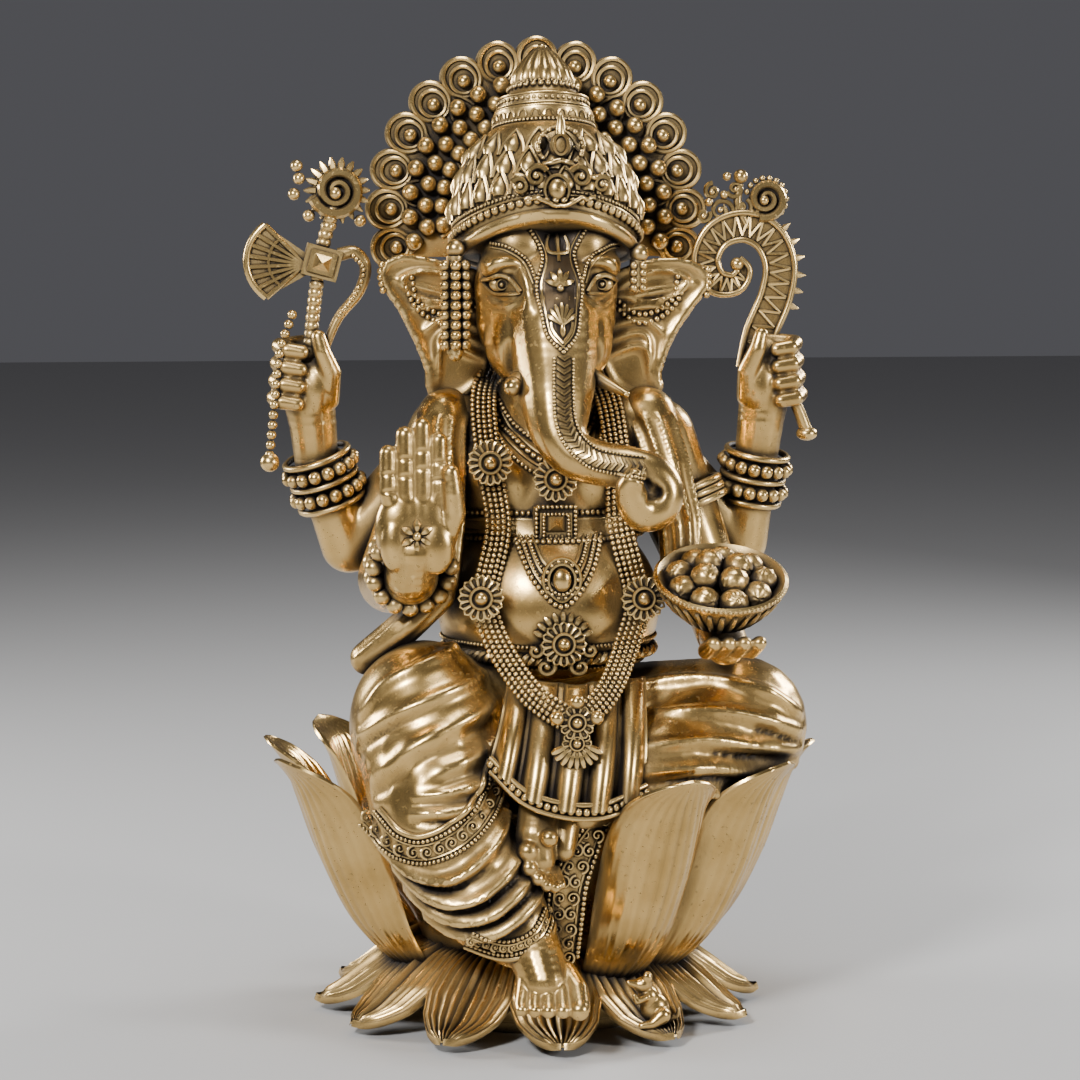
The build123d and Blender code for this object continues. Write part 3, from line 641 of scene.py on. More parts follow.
class Clay(Metal):
    """Gathers rounded masses, then melts them into one skin."""

    def limb(self, *stations: tuple) -> None:
        """Adds a rounded bar through stations of x, y, height above the seat, and radius."""
        rows = np.array([(x, y, SEAT + z, r) for x, y, z, r in stations], float)
        for start, end in zip(rows, rows[1:]):
            gap = np.linalg.norm(end[:3] - start[:3])
            count = max(2, int(gap / (0.22 * min(start[3], end[3]))))
            for share in np.linspace(0, 1, count):
                x, y, z, radius = start + (end - start) * share
                self.ball((x, y, z), radius, fine=True)

    def mass(self, centre: np.ndarray, radii: tuple, turn: tuple = (0, 0, 0)) -> None:
        """Adds an egg, turned by three angles in degrees."""
        matrix = np.array(Euler([math.radians(angle) for angle in turn]).to_matrix())
        verts = (ROUND[0] * np.asarray(radii, float)) @ matrix.T + centre
        self.add(verts, ROUND[1])

    def skin(self, name: str, grain: float = 0.8, smooth: int = 6) -> bpy.types.Object:
        """The masses melted together.

        Args:
            name: The object's name.
            grain: The size of the skin's faces.
            smooth: Rounds of smoothing.

        Returns:
            The object, one closed skin.
        """
        thing = raw_object(name, np.vstack(self.rows), self.faces)
        settle(thing, "REMESH", mode="VOXEL", voxel_size=grain * MM)
        settle(thing, "SMOOTH", factor=0.5, iterations=smooth)
        return thing


class Skin:
    """Finds the front of finished surfaces, so that trim can lie on them."""

    def __init__(self, *things: bpy.types.Object) -> None:
        """Reads the surfaces' faces."""
        verts, faces, count = [], [], 0
        for thing in things:
            rows = read_points(thing)
            verts += [tuple(row) for row in rows]
            faces += [tuple(v + count for v in face.vertices) for face in thing.data.polygons]
            count += len(rows)
        self.tree = BVHTree.FromPolygons(verts, faces)

    def front(self, x: float, z: float, spare: float, lift: float) -> np.ndarray:
        """The foremost point at x and height above the seat, or a spare depth if there is none."""
        hit, normal, _, _ = self.tree.ray_cast(Vector((x, -300, SEAT + z)), Vector((0, 1, 0)))
        if hit is None:
            return np.array([x, spare, SEAT + z])
        return np.array(hit) + np.array(normal) * lift

    def lay(self, route: np.ndarray, count: int, lift: float = 0.0, spare: float = -20.0) -> np.ndarray:
        """A smooth route of x and height, laid on the front surfaces."""
        rows = np.array([self.front(x, z, spare, lift) for x, z in flow(np.asarray(route, float), count)])
        if count > 6:
            rows[1:-1] = (rows[:-2] + 2 * rows[1:-1] + rows[2:]) / 4
        return rows


def stroke(thing: bpy.types.Object, paths: list[np.ndarray], height: float, width: float) -> None:
    """Raises a ridge, or presses a groove, along paths on an object.

    Args:
        thing: The object, with a fine mesh.
        paths: The paths, in millimetres.
        height: How far the surface moves, below zero for a groove.
        width: Half the ridge's width.
    """
    verts, normals = read_points(thing), read_normals(thing)
    lift = np.zeros(len(verts))
    for path in paths:
        low, high = path.min(axis=0) - 3 * width, path.max(axis=0) + 3 * width
        near = np.nonzero(np.all((verts > low) & (verts < high), axis=1))[0]
        if not len(near):
            continue
        gaps = np.full(len(near), np.inf)
        taper = np.zeros(len(near))
        ends = np.sin(np.linspace(0.12, math.pi - 0.12, len(path))) ** 0.5
        for start in range(len(path)):
            gap = np.sum((verts[near] - path[start]) ** 2, axis=1)
            closer = gap < gaps
            gaps[closer] = gap[closer]
            taper[closer] = ends[start]
        lift[near] += taper * np.exp(-gaps / width ** 2)
    write_points(thing, verts + normals * (height * np.clip(lift, 0, 1.3))[:, None])


def xz(*rows: tuple) -> np.ndarray:
    """Pairs of x and height above the seat."""
    return np.array(rows, float)


# ---------------------------------------------------------------- lotus
@dataclass
class Lotus:
    """The lotus: its splayed lower petals and tall upper petals."""

    lower_count: int = 12
    lower_tip: float = 62.5
    lower_half: float = 14.4
    upper_count: int = 10
    upper_first: float = 26.0
    upper_pitch: float = 29.2
    upper_tip: float = 77.0
    upper_top: float = 75.0
    upper_half: float = 18.4
    wall: float = 2.4

    def build(self) -> None:
        """Makes every petal and dresses the core and its fittings."""
        self.lower_petals()
        for index in range(self.upper_count):
            self.upper_petal(index)
        for node in ("lotus_core", "base_plate"):
            dress(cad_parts[node], Finish.ANTIQUE)
        for node in ("base_screws", "tie_nut", "tie_stud"):
            dress(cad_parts[node], Finish.STEEL)

    def lower_petals(self) -> None:
        """The ring of splayed petals with deep veins."""
        ring = Metal()
        spine = even(flow(xz((29, 19.5), (37, 17), (46, 11), (54, 5.0), (59.5, 3.0),
                             (self.lower_tip, 3.6)), 90), 40)
        share = np.linspace(0, 1, 40)
        width = self.lower_half * np.clip(np.interp(share, [0, 0.3, 0.52, 0.72, 0.88, 1],
                                                    [0.62, 0.9, 1, 0.82, 0.46, 0.03]), 0, 1)
        for index in range(self.lower_count):
            petal = Metal()
            petal.leaf(spine, width, np.full(40, 19.0), 5, 0.42, 2.2, across=67)
            ring.add(np.vstack(petal.moved(360 / self.lower_count * index).rows), petal.faces)
        ring.lathe(xz((0, 1), (33, 1), (35, 6), (33, 12.5), (0, 13)), 64)
        place_piece(ring.raw("lower_petals"), "lower_petal_ring", slot=Slot.POLISHED, smooth=40)

    def upper_petal(self, index: int) -> None:
        """One tall petal with fine veins, its place counted from the front."""
        rows = 64
        share = np.linspace(0, 1, rows)
        spine = even(flow(xz((30, 12), (42, 16), (54, 28), (62.5, 44), (67.6, 58), (71.6, 68),
                             (self.upper_tip, self.upper_top)), 200), rows)
        rise = np.clip(share / 0.64, 0, 1)
        fall = np.clip((share - 0.64) / 0.36, 0, 1)
        swell = 0.36 + 0.64 * np.sin(rise * math.pi / 2)
        width = self.upper_half * swell * (1 - fall ** 2.3) ** 0.58 + 0.15
        curl = np.interp(share, [0, 0.5, 0.85, 1], [11, 12.2, 13.5, 20])
        petal = Metal()
        side = 1 if index < 5 else -1
        petal.leaf(spine, width, curl, 6, 0.11, self.wall, across=73, twist=0.14 * side)
        petal.moved(self.upper_first + self.upper_pitch * index)
        place_piece(petal.raw(f"tall_petal_{index + 1:02d}"), f"upper_petal_{index + 1:02d}",
                    finish=Finish.POLISHED, slot=Slot.POLISHED, smooth=40)


# ---------------------------------------------------------------- the figure's forms
@dataclass
class Body:
    """Torso, hips and legs, with the folds of the cloth."""

    grain: float = 0.85

    def build(self) -> dict[str, bpy.types.Object]:
        """Makes the forms and returns them by name."""
        made = {"torso": self.torso(), "hips": self.hips(), "right_leg": self.right_leg(),
                "left_leg": self.left_leg()}
        self.feet()
        return made

    def torso(self) -> bpy.types.Object:
        """Belly, chest, shoulders and neck."""
        clay = Clay()
        clay.mass(at(1.5, -13, 57), (30.5, 28, 27))
        clay.mass(at(1, -8, 84), (28, 20, 24))
        for side in (-1, 1):
            clay.mass(at(1 + side * 13, -17, 92), (14, 11, 12))
            clay.mass(at(1 + side * 24, -6, 104), (13, 12, 11))
        clay.limb((1, -5, 100, 15), (1, -8, 122, 13))
        clay.limb((-22, 0, 104, 11.5), (-12, 2, 108, 12.5), (1, 2, 110, 13), (14, 2, 108, 12.5),
                  (24, 0, 104, 11.5))
        clay.mass(at(1, -1, 92), (27, 15.5, 22))
        clay.mass(at(1, 0, 68), (24, 15, 24))
        thing = clay.skin("torso_form", self.grain, 10)
        skin = Skin(thing)
        stroke(thing, [skin.lay(xz((-22, 46), (-8, 38), (10, 38), (25, 46)), 40)], -1.2, 2.0)
        return place_piece(thing, "torso", "waist_belt")

    def hips(self) -> bpy.types.Object:
        """The draped lap."""
        clay = Clay()
        clay.mass(at(2, 0, 20), (42, 31, 21))
        thing = clay.skin("hips_form", self.grain + 0.2, 6)
        verts = read_points(thing)
        verts[:, 2] = np.maximum(verts[:, 2], SEAT + 0.1)
        write_points(thing, verts)
        turns = np.radians(np.linspace(8, 172, 60))
        for height, share, sag in ((8, 0.84, 2), (15, 0.97, 3), (22, 0.99, 4), (29, 0.90, 4),
                                   (35, 0.72, 3)):
            ring = np.stack([2 + 42 * share * np.cos(turns), 31 * share * np.sin(turns),
                             SEAT + height - sag * np.sin(turns)], axis=1)
            stroke(thing, [ring], 1.5, 1.9)
            stroke(thing, [ring - (0, 0, 3.2)], -1.2, 1.1)
        return place_piece(thing, "hips")

    def right_leg(self) -> bpy.types.Object:
        """The raised knee and hanging shin, wrapped in folds."""
        clay = Clay()
        clay.mass(at(-33, -32, 26), (21, 22, 24), (0, -10, 0))
        clay.limb((-18, -16, 30, 19), (-33, -38, 20, 19), (-31, -45, 4, 18), (-24, -49, -9, 16.5),
                  (-18, -51, -17, 14), (-11, -53, -25, 10))
        thing = clay.skin("right_leg_form", self.grain, 8)
        skin = Skin(thing)
        thigh = ((xz((-13, 50), (-30, 47), (-44, 41), (-51, 33)), 1.7, 2.1),
                 (xz((-12, 43), (-28, 39), (-43, 33), (-52, 26)), 1.5, 1.8),
                 (xz((-12, 36), (-26, 31), (-38, 25), (-48, 17)), 2.2, 2.7),
                 (xz((-16, 24), (-26, 21), (-36, 17)), 1.5, 2.2),
                 (xz((-17, 16.5), (-27, 14), (-38, 12.8)), 1.9, 1.5),
                 (xz((-20, 10.5), (-29, 8.8), (-39, 8.4)), 1.6, 1.3))
        for route, height, width in thigh:
            path = skin.lay(route, 40)
            stroke(thing, [path], height, width)
            stroke(thing, [path - (0, 0, 1.9 * width)], -0.7 * height, 0.6 * width)
        shin = (xz((-48, -1), (-38, -8), (-28, -8), (-18, 0), (-12, 9)),
                xz((-43, -8), (-34, -14), (-24, -14), (-14, -7), (-8, 1)),
                xz((-40, -14), (-31, -19), (-21, -19), (-11, -12), (-6, -5)),
                xz((-36, -20), (-27, -23.5), (-18, -23), (-9, -17), (-4, -11)))
        for route in shin:
            path = skin.lay(route, 50)
            stroke(thing, [path], 3.0, 1.7)
            stroke(thing, [path - (0, 0, 2.9)], -2.2, 1.0)
        return place_piece(thing, "right_leg")

    def left_leg(self) -> bpy.types.Object:
        """The folded leg with folds that run along it."""
        clay = Clay()
        clay.limb((18, -12, 22, 18), (53, -22, 24, 19))
        clay.limb((53, -22, 24, 18.5), (32, -36, 16, 15), (6, -45, 9, 11))
        thing = clay.skin("left_leg_form", self.grain, 8)
        skin = Skin(thing)
        folds = [skin.lay(xz((22, 36 - 6.5 * k), (40, 38 - 7 * k), (56, 36 - 7.5 * k), (68, 29 - 5 * k)),
                          40)
                 for k in range(5)]
        stroke(thing, folds, 2.3, 1.9)
        stroke(thing, [path + (0, 0, -3.3) for path in folds], -1.7, 1.0)
        return place_piece(thing, "left_leg")

    def feet(self) -> None:
        """The hanging foot with its toes, and the folded leg's foot."""
        clay = Clay()
        clay.limb((-8, -53, -26, 7.5), (-6, -58, -32, 7.2), (-4.6, -61.5, -37, 6.6))
        for x, reach, radius in ((-11.4, 0, 1.9), (-8.0, 0.9, 2.05), (-4.5, 1.5, 2.2), (-0.8, 1.8, 2.3),
                                 (3.6, 1.6, 3.1)):
            clay.limb((x * 0.62 - 1.4, -60, -35, 3.4), (x * 0.9, -63.5 - reach, -38.6, radius + 0.3),
                      (x, -67 - reach, -41.8, radius))
            clay.ball(at(x, -68.4 - reach, -42.6), radius * 0.9, fine=True)
        place_piece(clay.skin("hanging_foot", 0.4, 3), "right_foot")
        clay = Clay()
        clay.limb((-4, -49, 9, 6.2), (-6.4, -55, 1, 5.4), (-5.4, -57, -5, 4.2))
        clay.limb((2, -52, 3, 4), (1, -55, -3, 3.2))
        for x, y, z, radius in ((-3.4, -61, 1.4, 2.5), (-8.8, -59.4, -2.4, 3.0), (-8.6, -60.4, -6.6, 2.3),
                                (-6.4, -61, -9.4, 1.9), (-4.0, -61, -11.2, 1.7), (-1.8, -60.4, -12, 1.5),
                                (0.0, -59.6, -11.4, 1.3)):
            clay.limb((x * 0.7 - 1, y + 4, z * 0.7, radius * 0.9), (x, y, z, radius))
        place_piece(clay.skin("folded_foot", 0.4, 3), "left_foot")


@dataclass
class Head:
    """The elephant's head: skull, cheeks, trunk, eyes, tusks and ears."""

    grain: float = 0.62

    def build(self) -> bpy.types.Object:
        """Makes the head and what grows from it, and returns the head's form."""
        form = self.form()
        self.eyes(Skin(form))
        self.tusks()
        self.ears()
        return form

    def form(self) -> bpy.types.Object:
        """Skull, brows, cheeks and the curled trunk."""
        clay = Clay()
        clay.mass(at(1, -11, 143), (19.5, 20, 21))
        clay.mass(at(1, -21, 139), (14.5, 12.5, 18))
        for side in (-1, 1):
            clay.mass(at(1 + side * 8.5, -17, 155), (10, 12, 10))
            clay.mass(at(1 + side * 9.0, -17.5, 130), (8.4, 14, 12))
            clay.mass(at(1 + side * 11.5, -11, 137), (7.6, 13, 14))
            clay.mass(at(1 + side * 12.5, -22, 150), (6.5, 7.5, 4.4))
        clay.mass(at(1, -16, 119), (8, 11, 6))
        trunk = np.array([(1.3, -25, 134, 12.6), (1.4, -31.5, 122, 11.4), (1, -37.5, 114, 9.6),
                          (1.3, -42, 106, 7.4),
                  (5, -45, 100.6, 6.4), (12, -49, 98.4, 6.0), (18.5, -52, 97.8, 5.5),
                          (24.6, -53, 96.0, 5.4),
                  (27.6, -53.4, 91.8, 5.3), (26.4, -54, 87.4, 5.3), (22.2, -54.8, 86.2, 5.3),
                          (19.4, -56.4, 89.2, 4.9),
                  (18.0, -58.4, 92.6, 3.9), (18.6, -60, 95.2, 3.2)])
        clay.limb(*flow(trunk, 60))
        thing = clay.skin("head_form", self.grain, 6)
        skin = Skin(thing)
        for side in (-1, 1):
            x = 1 + side * 13.6
            brow = xz((x + side * 4.6, 146.4), (x + side * 1.4, 150.4), (x - side * 3.6, 150.4),
                      (x - side * 6.4, 146),
                      (x - side * 6.8, 139.5))
            stroke(thing, [skin.lay(brow, 40)], 1.3, 1.7)
            fold = xz((x + side * 4.4, 141), (x, 138.8), (x - side * 4.4, 140.6))
            stroke(thing, [skin.lay(fold, 24)], 0.8, 0.9)
            stroke(thing, [skin.lay(brow - (side * 1.9, 1.9), 40)], -0.8, 0.9)
            cheek = xz((1 + side * 12, 129), (1 + side * 12, 124), (1 + side * 10, 119))
            stroke(thing, [skin.lay(cheek, 20)], -1.2, 1.1)
        stroke(thing, [skin.lay(xz((17.0, 97.6), (21.4, 95.2), (23.4, 91.6), (22.8, 89.4)), 30)], -1.1, 0.8)
        stroke(thing, [skin.lay(xz((24.6, 92.6), (25.0, 91.6), (24.6, 90.8)), 12)], -2.6, 1.35)
        lids = [skin.lay(xz((1 + s * 8.5, 143), (1 + s * 12, 139.6), (1 + s * 17, 142)), 20)
                for s in (-1, 1)]
        stroke(thing, lids, -0.5, 0.6)
        return place_piece(thing, "head")

    def eyes(self, skin: Skin) -> None:
        """Almond eyes between two lids, under a long brow."""
        trim = Metal()
        turns = np.linspace(0, AROUND, 20, endpoint=False)[:, None]
        for side in (-1, 1):
            x = 1 + side * 13.4
            centre = skin.front(x, 144.6, -24, 0.0)
            trim.ball(centre + (0, 0.2, 0), (3.3, 1.3, 2.1), fine=True)
            trim.tube(centre + np.hstack([1.35 * np.cos(turns), 0 * turns - 1.35, 1.35 * np.sin(turns)]),
                      0.26, 6, True)
            trim.ball(centre + (0, -1.3, 0), (0.65, 0.5, 0.65), fine=True)
            for bow, thick in ((2.8, 0.75), (-2.7, 0.5)):
                lid = xz((x - side * 4.9, 142.6), (x - side * 1.6, 144.4 + bow * 0.86),
                         (x + side * 1.8, 144.8 + bow * 0.9),
                         (x + side * 4.4, 145.4))
                trim.tube(skin.lay(lid, 20, 0.45), thick, 7)
        place_piece(trim.raw("eyes"))

    def tusks(self) -> None:
        """The broken right tusk with its ferrule and the whole left tusk."""
        stub = Metal()
        path = flow(points((-4.5, -28, 122), (-8, -34, 120), (-10.6, -38, 118)), 12)
        stub.tube(path, np.linspace(3.2, 2.5, 12), 20)
        for index in (4, 7, 10):
            stub.tube(path[index - 1:index + 1], 3.1 - 0.03 * index, 20)
        stub.ball(path[-1], 2.45, fine=True)
        place_piece(stub.raw("broken_tusk"), "right_tusk", finish=Finish.POLISHED)
        whole = Metal()
        path = flow(points((7.5, -27, 122), (13, -33, 119.4), (19.4, -39.5, 116)), 24)
        whole.tube(path, np.linspace(3.0, 0.9, 24), 20)
        whole.ball(path[-1], 0.9, fine=True)
        place_piece(whole.raw("whole_tusk"), "left_tusk", finish=Finish.POLISHED)

    def ears(self) -> None:
        """Both ears: a cupped leaf with a rolled edge, folds and two bead strings."""
        shapes = {"right": (-1, xz((-12, 146), (-26, 149.7), (-38.5, 151.5), (-43.4, 146.4), (-38, 137),
                                   (-34.4, 130),
                                   (-31, 121), (-30, 114.6), (-24, 113), (-17, 118), (-13, 130))),
                  "left": (1, xz((15, 145), (29, 150), (40.5, 149.8), (45.6, 144.8), (40.5, 137),
                                 (35.6, 129.6),
                                 (32.4, 121), (32, 114.4), (26, 113), (19, 118), (15, 130)))}
        for name, (side, outline) in shapes.items():
            clay = Clay()
            ring = flow(np.vstack([outline, outline[:1]]), 120)[:-1]
            clay.plate(ring, -9.6, -7.0)
            thing = clay.skin(f"{name}_ear_form", 0.6, 4)
            skin = Skin(thing)
            edge = np.array([(x, -9.6, SEAT + z) for x, z in ring])
            stroke(thing, [edge], 1.3, 1.5)
            root = xz((side * 16, 140))[0]
            folds = [skin.lay(np.array([root + (0, -4 * k),
                                        ((outline[3] + outline[6]) / 2 + root) / 2 - (0, 3.6 * k - 5),
                                        outline[3 + k] * 0.9 + root * 0.1]), 30) for k in range(5)]
            stroke(thing, folds, 1.3, 1.2)
            dish = xz((20, 142), (27, 146.6), (35, 147.6), (40, 145), (36, 140.8), (28, 139), (20, 142))
            dish[:, 0] = dish[:, 0] if side > 0 else 2 - dish[:, 0]
            stroke(thing, [skin.lay(dish, 60, 0, -9.6)], 1.5, 0.9)
            place_piece(thing, f"{name}_ear")
            beads = Metal()
            for gap in (0, 2.3):
                sag = xz((18.4, 139 + gap), (26.9, 133.4 + gap), (35.4, 137 + gap),
                         (39.6 - gap, 144.6 + gap * 0.6))
                sag[:, 0] = sag[:, 0] if side > 0 else 2 - sag[:, 0]
                beads.beads(skin.lay(sag, 60, 0.6, -9.6), 0.85)
            for k in range(5):
                beads.ball(np.array([outline[3][0] + side * 0.4 * math.sin(k), -9.8,
                                     SEAT + outline[3][1] + 3 - 1.7 * k]), 1.0)
            place_piece(beads.raw(f"{name}_ear_beads"))


@dataclass(frozen=True)
class Cuff:
    """Two rings of beads round a wrist, with plain hoops between them.

    Attributes:
        node: The cuff it stands for.
        way: The wrist's direction.
        shift: How far its middle stands from the frame's own.
        bead: The beads' radius.
        count: Beads in each ring.
        gap: The distance from ring to ring.
        hoops: Where the hoops lie along the wrist.
        reach: The rings' radius, or 0 to take it from the frame's cuff.
    """

    node: str
    way: tuple
    shift: tuple = (0, 0, 0)
    bead: float = 1.85
    count: int = 16
    gap: float = 6.6
    hoops: tuple = (-6.6, 0, 6.6)
    reach: float = 0.0


CUFF_INSET = 2.1
CUFFS = (Cuff("rear_right_bangles", (-0.35, -0.16, 1)),
         Cuff("rear_left_bangles", (0.16, -0.16, 1)),
         Cuff("front_right_bracelet", (0.1, -1, -0.25), (0.5, -2.5, 2.5), 2.4, 15, 4.2, (0,), 10.4))


@dataclass
class Arms:
    """Four arms, their hands and their bead cuffs."""

    grain: float = 0.6

    def build(self) -> None:
        """Makes every arm and hand."""
        self.rear(-1, "right")
        self.rear(1, "left")
        self.front_right()
        self.front_left()
        self.cuffs()

    def rear(self, side: int, name: str) -> None:
        """A rear arm with its raised hand, the fingers closed round what it holds."""
        clay = Clay()
        elbow = (-52, 4, 72) if side < 0 else (57, 4, 72)
        wrist = (-61, 0, 96) if side < 0 else (61, 0, 96)
        clay.limb((2 + side * 24, 4, 102, 11.5), (*elbow, 8), (*wrist, 6.3))
        place_piece(clay.skin(f"rear_{name}_arm_form", self.grain + 0.15, 6), f"rear_{name}_arm")
        hand = Clay()
        hand.limb((*wrist, 6.1), (side * 62, -1, 106, 6.6), (side * 63, -1, 113, 7.2))
        hand.mass(at(side * 64, -1, 120), (8.2, 6.2, 9))
        hand.mass(at(side * 61, -4.5, 116), (5.4, 4.6, 8.5))
        for k in range(4):
            z = 112.6 + 4.7 * k
            lean = 0.5 * k
            hand.limb((side * 64, -1, z + 1, 2.6), (side * (72.4 - lean), -3.6, z + 0.6, 2.3),
                      (side * (70.6 - lean), -8.0, z - 0.2, 2.2),
                      (side * (66.4 - lean), -8.6, z - 0.8, 2.0))
        hand.limb((side * 58, -4, 113, 3.4), (side * 57.2, -7.4, 120, 2.9), (side * 59.6, -9, 126, 2.4),
                  (side * 60.6, -8.8, 130, 2.0))
        place_piece(hand.skin(f"rear_{name}_hand_form", 0.5, 3), f"rear_{name}_hand")

    def front_right(self) -> None:
        """The arm with the open palm: four fingers up, the thumb apart, a mark on the palm."""
        clay = Clay()
        clay.limb((-25, -6, 102, 12), (-41, -10, 64, 9.6), (-38, -38, 68, 7.8))
        place_piece(clay.skin("front_right_arm_form", self.grain + 0.15, 6), "front_right_arm")
        hand = Clay()
        for x in (-40.6, -38.4, -36.2, -34.0):
            hand.mass(at(x, -45.8, 81.5), (7.2, 4.6, 10.4))
        hand.mass(at(-37.4, -45.4, 75), (8.6, 5.2, 7))
        hand.mass(at(-32, -48.4, 77), (5, 3, 7.5))
        hand.mass(at(-42.6, -48, 78), (4, 3, 7.5))
        hand.limb((-38, -33, 68, 7.4), (-38, -41, 69, 7.2), (-37.4, -45, 75, 6.6))
        for x, tip, radius in ((-44.2, 101.5, 2.25), (-39.8, 106.2, 2.4), (-35.3, 108.4, 2.45),
                               (-30.9, 104.6, 2.35)):
            hand.limb((x * 0.6 - 15, -46, 84, 3.2), (x, -46.6, 91, radius + 0.25), (x, -46.2, tip, radius))
        hand.limb((-30.5, -45.6, 77, 3.8), (-27.0, -47.5, 86, 3.2), (-27.4, -48.6, 91, 2.8),
                  (-28, -49, 96.5, 2.3))
        thing = hand.skin("open_palm", 0.45, 3)
        skin = Skin(thing)
        lines = [skin.lay(xz((x - 1.7, z), (x, z + 0.2), (x + 1.7, z)), 10)
                 for x, top in ((-44, 101), (-39.6, 105), (-35.2, 107), (-31, 104))
                 for z in (top - 5, top - 9.6)]
        stroke(thing, lines, -0.45, 0.45)
        place_piece(thing, "front_right_hand")
        mark = Metal()
        centre = skin.front(-37, 80, -51, 0.3)
        for turn in range(6):
            angle = AROUND * turn / 6 + math.pi / 6
            way = facing(angle)
            mark.tube(centre + np.outer(np.linspace(1.2, 4.6, 5), way),
                      np.array([0.4, 0.9, 1.1, 0.8, 0.2]), 6)
        mark.ball(centre, 1.3)
        place_piece(mark.raw("palm_mark"))

    def front_left(self) -> None:
        """The arm and hand that carry the bowl."""
        clay = Clay()
        clay.limb((31, -6, 101, 12.2), (47, -10, 60, 9), (46, -32, 51, 6.8))
        place_piece(clay.skin("front_left_arm_form", self.grain + 0.15, 6), "front_left_arm")
        hand = Clay()
        hand.limb((46, -33, 51, 6.4), (46, -42, 49.5, 6))
        for x in (39.5, 43.5, 47.6, 51.6):
            hand.limb((46, -42, 49.5, 3), (x, -50, 48.6, 2.3), (x + 1, -57, 51.5, 2.0))
        place_piece(hand.skin("bowl_hand", 0.5, 3), "front_left_hand")

    def cuffs(self) -> None:
        """Rings of large beads, read from the frame's own cuffs."""
        for cuff in CUFFS:
            low, high = (np.array(corner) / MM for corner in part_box(cuff.node))
            middle = (low + high) / 2 + cuff.shift
            reach = cuff.reach or (high[0] - low[0]) / 2 - CUFF_INSET
            way = unit(np.array(cuff.way, float))
            side = unit(np.cross(way, (0, 1, 0.2)))
            other = np.cross(way, side)
            trim = Metal()
            for ring in (-0.5, 0.5):
                for turn in range(cuff.count):
                    angle = AROUND * (turn + ring) / cuff.count
                    spoke = math.cos(angle) * side + math.sin(angle) * other
                    trim.ball(middle + way * cuff.gap * ring + reach * spoke, cuff.bead, fine=True)
            turns = np.linspace(0, AROUND, 40, endpoint=False)[:, None]
            hoop = (reach - 0.4) * (np.cos(turns) * side + np.sin(turns) * other)
            for offset in cuff.hoops:
                trim.tube(middle + way * offset + hoop, 0.9, 8, True)
            place_piece(trim.raw(f"{cuff.node}_form"), cuff.node)
        trim = Metal()
        low, high = (np.array(corner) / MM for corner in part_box("front_left_armlet"))
        way = unit(np.array([16, -4, -41], float))
        side = unit(np.cross(way, (0, 1, 0)))
        other = np.cross(way, side)
        turns = np.linspace(0, AROUND, 40, endpoint=False)[:, None]
        for offset in (-2.2, 0, 2.2):
            path = (low + high) / 2 + way * offset + 11.2 * (np.cos(turns) * side + np.sin(turns) * other)
            trim.tube(path, 1.15, 8, True)
        place_piece(trim.raw("armlet_form"), "front_left_armlet")


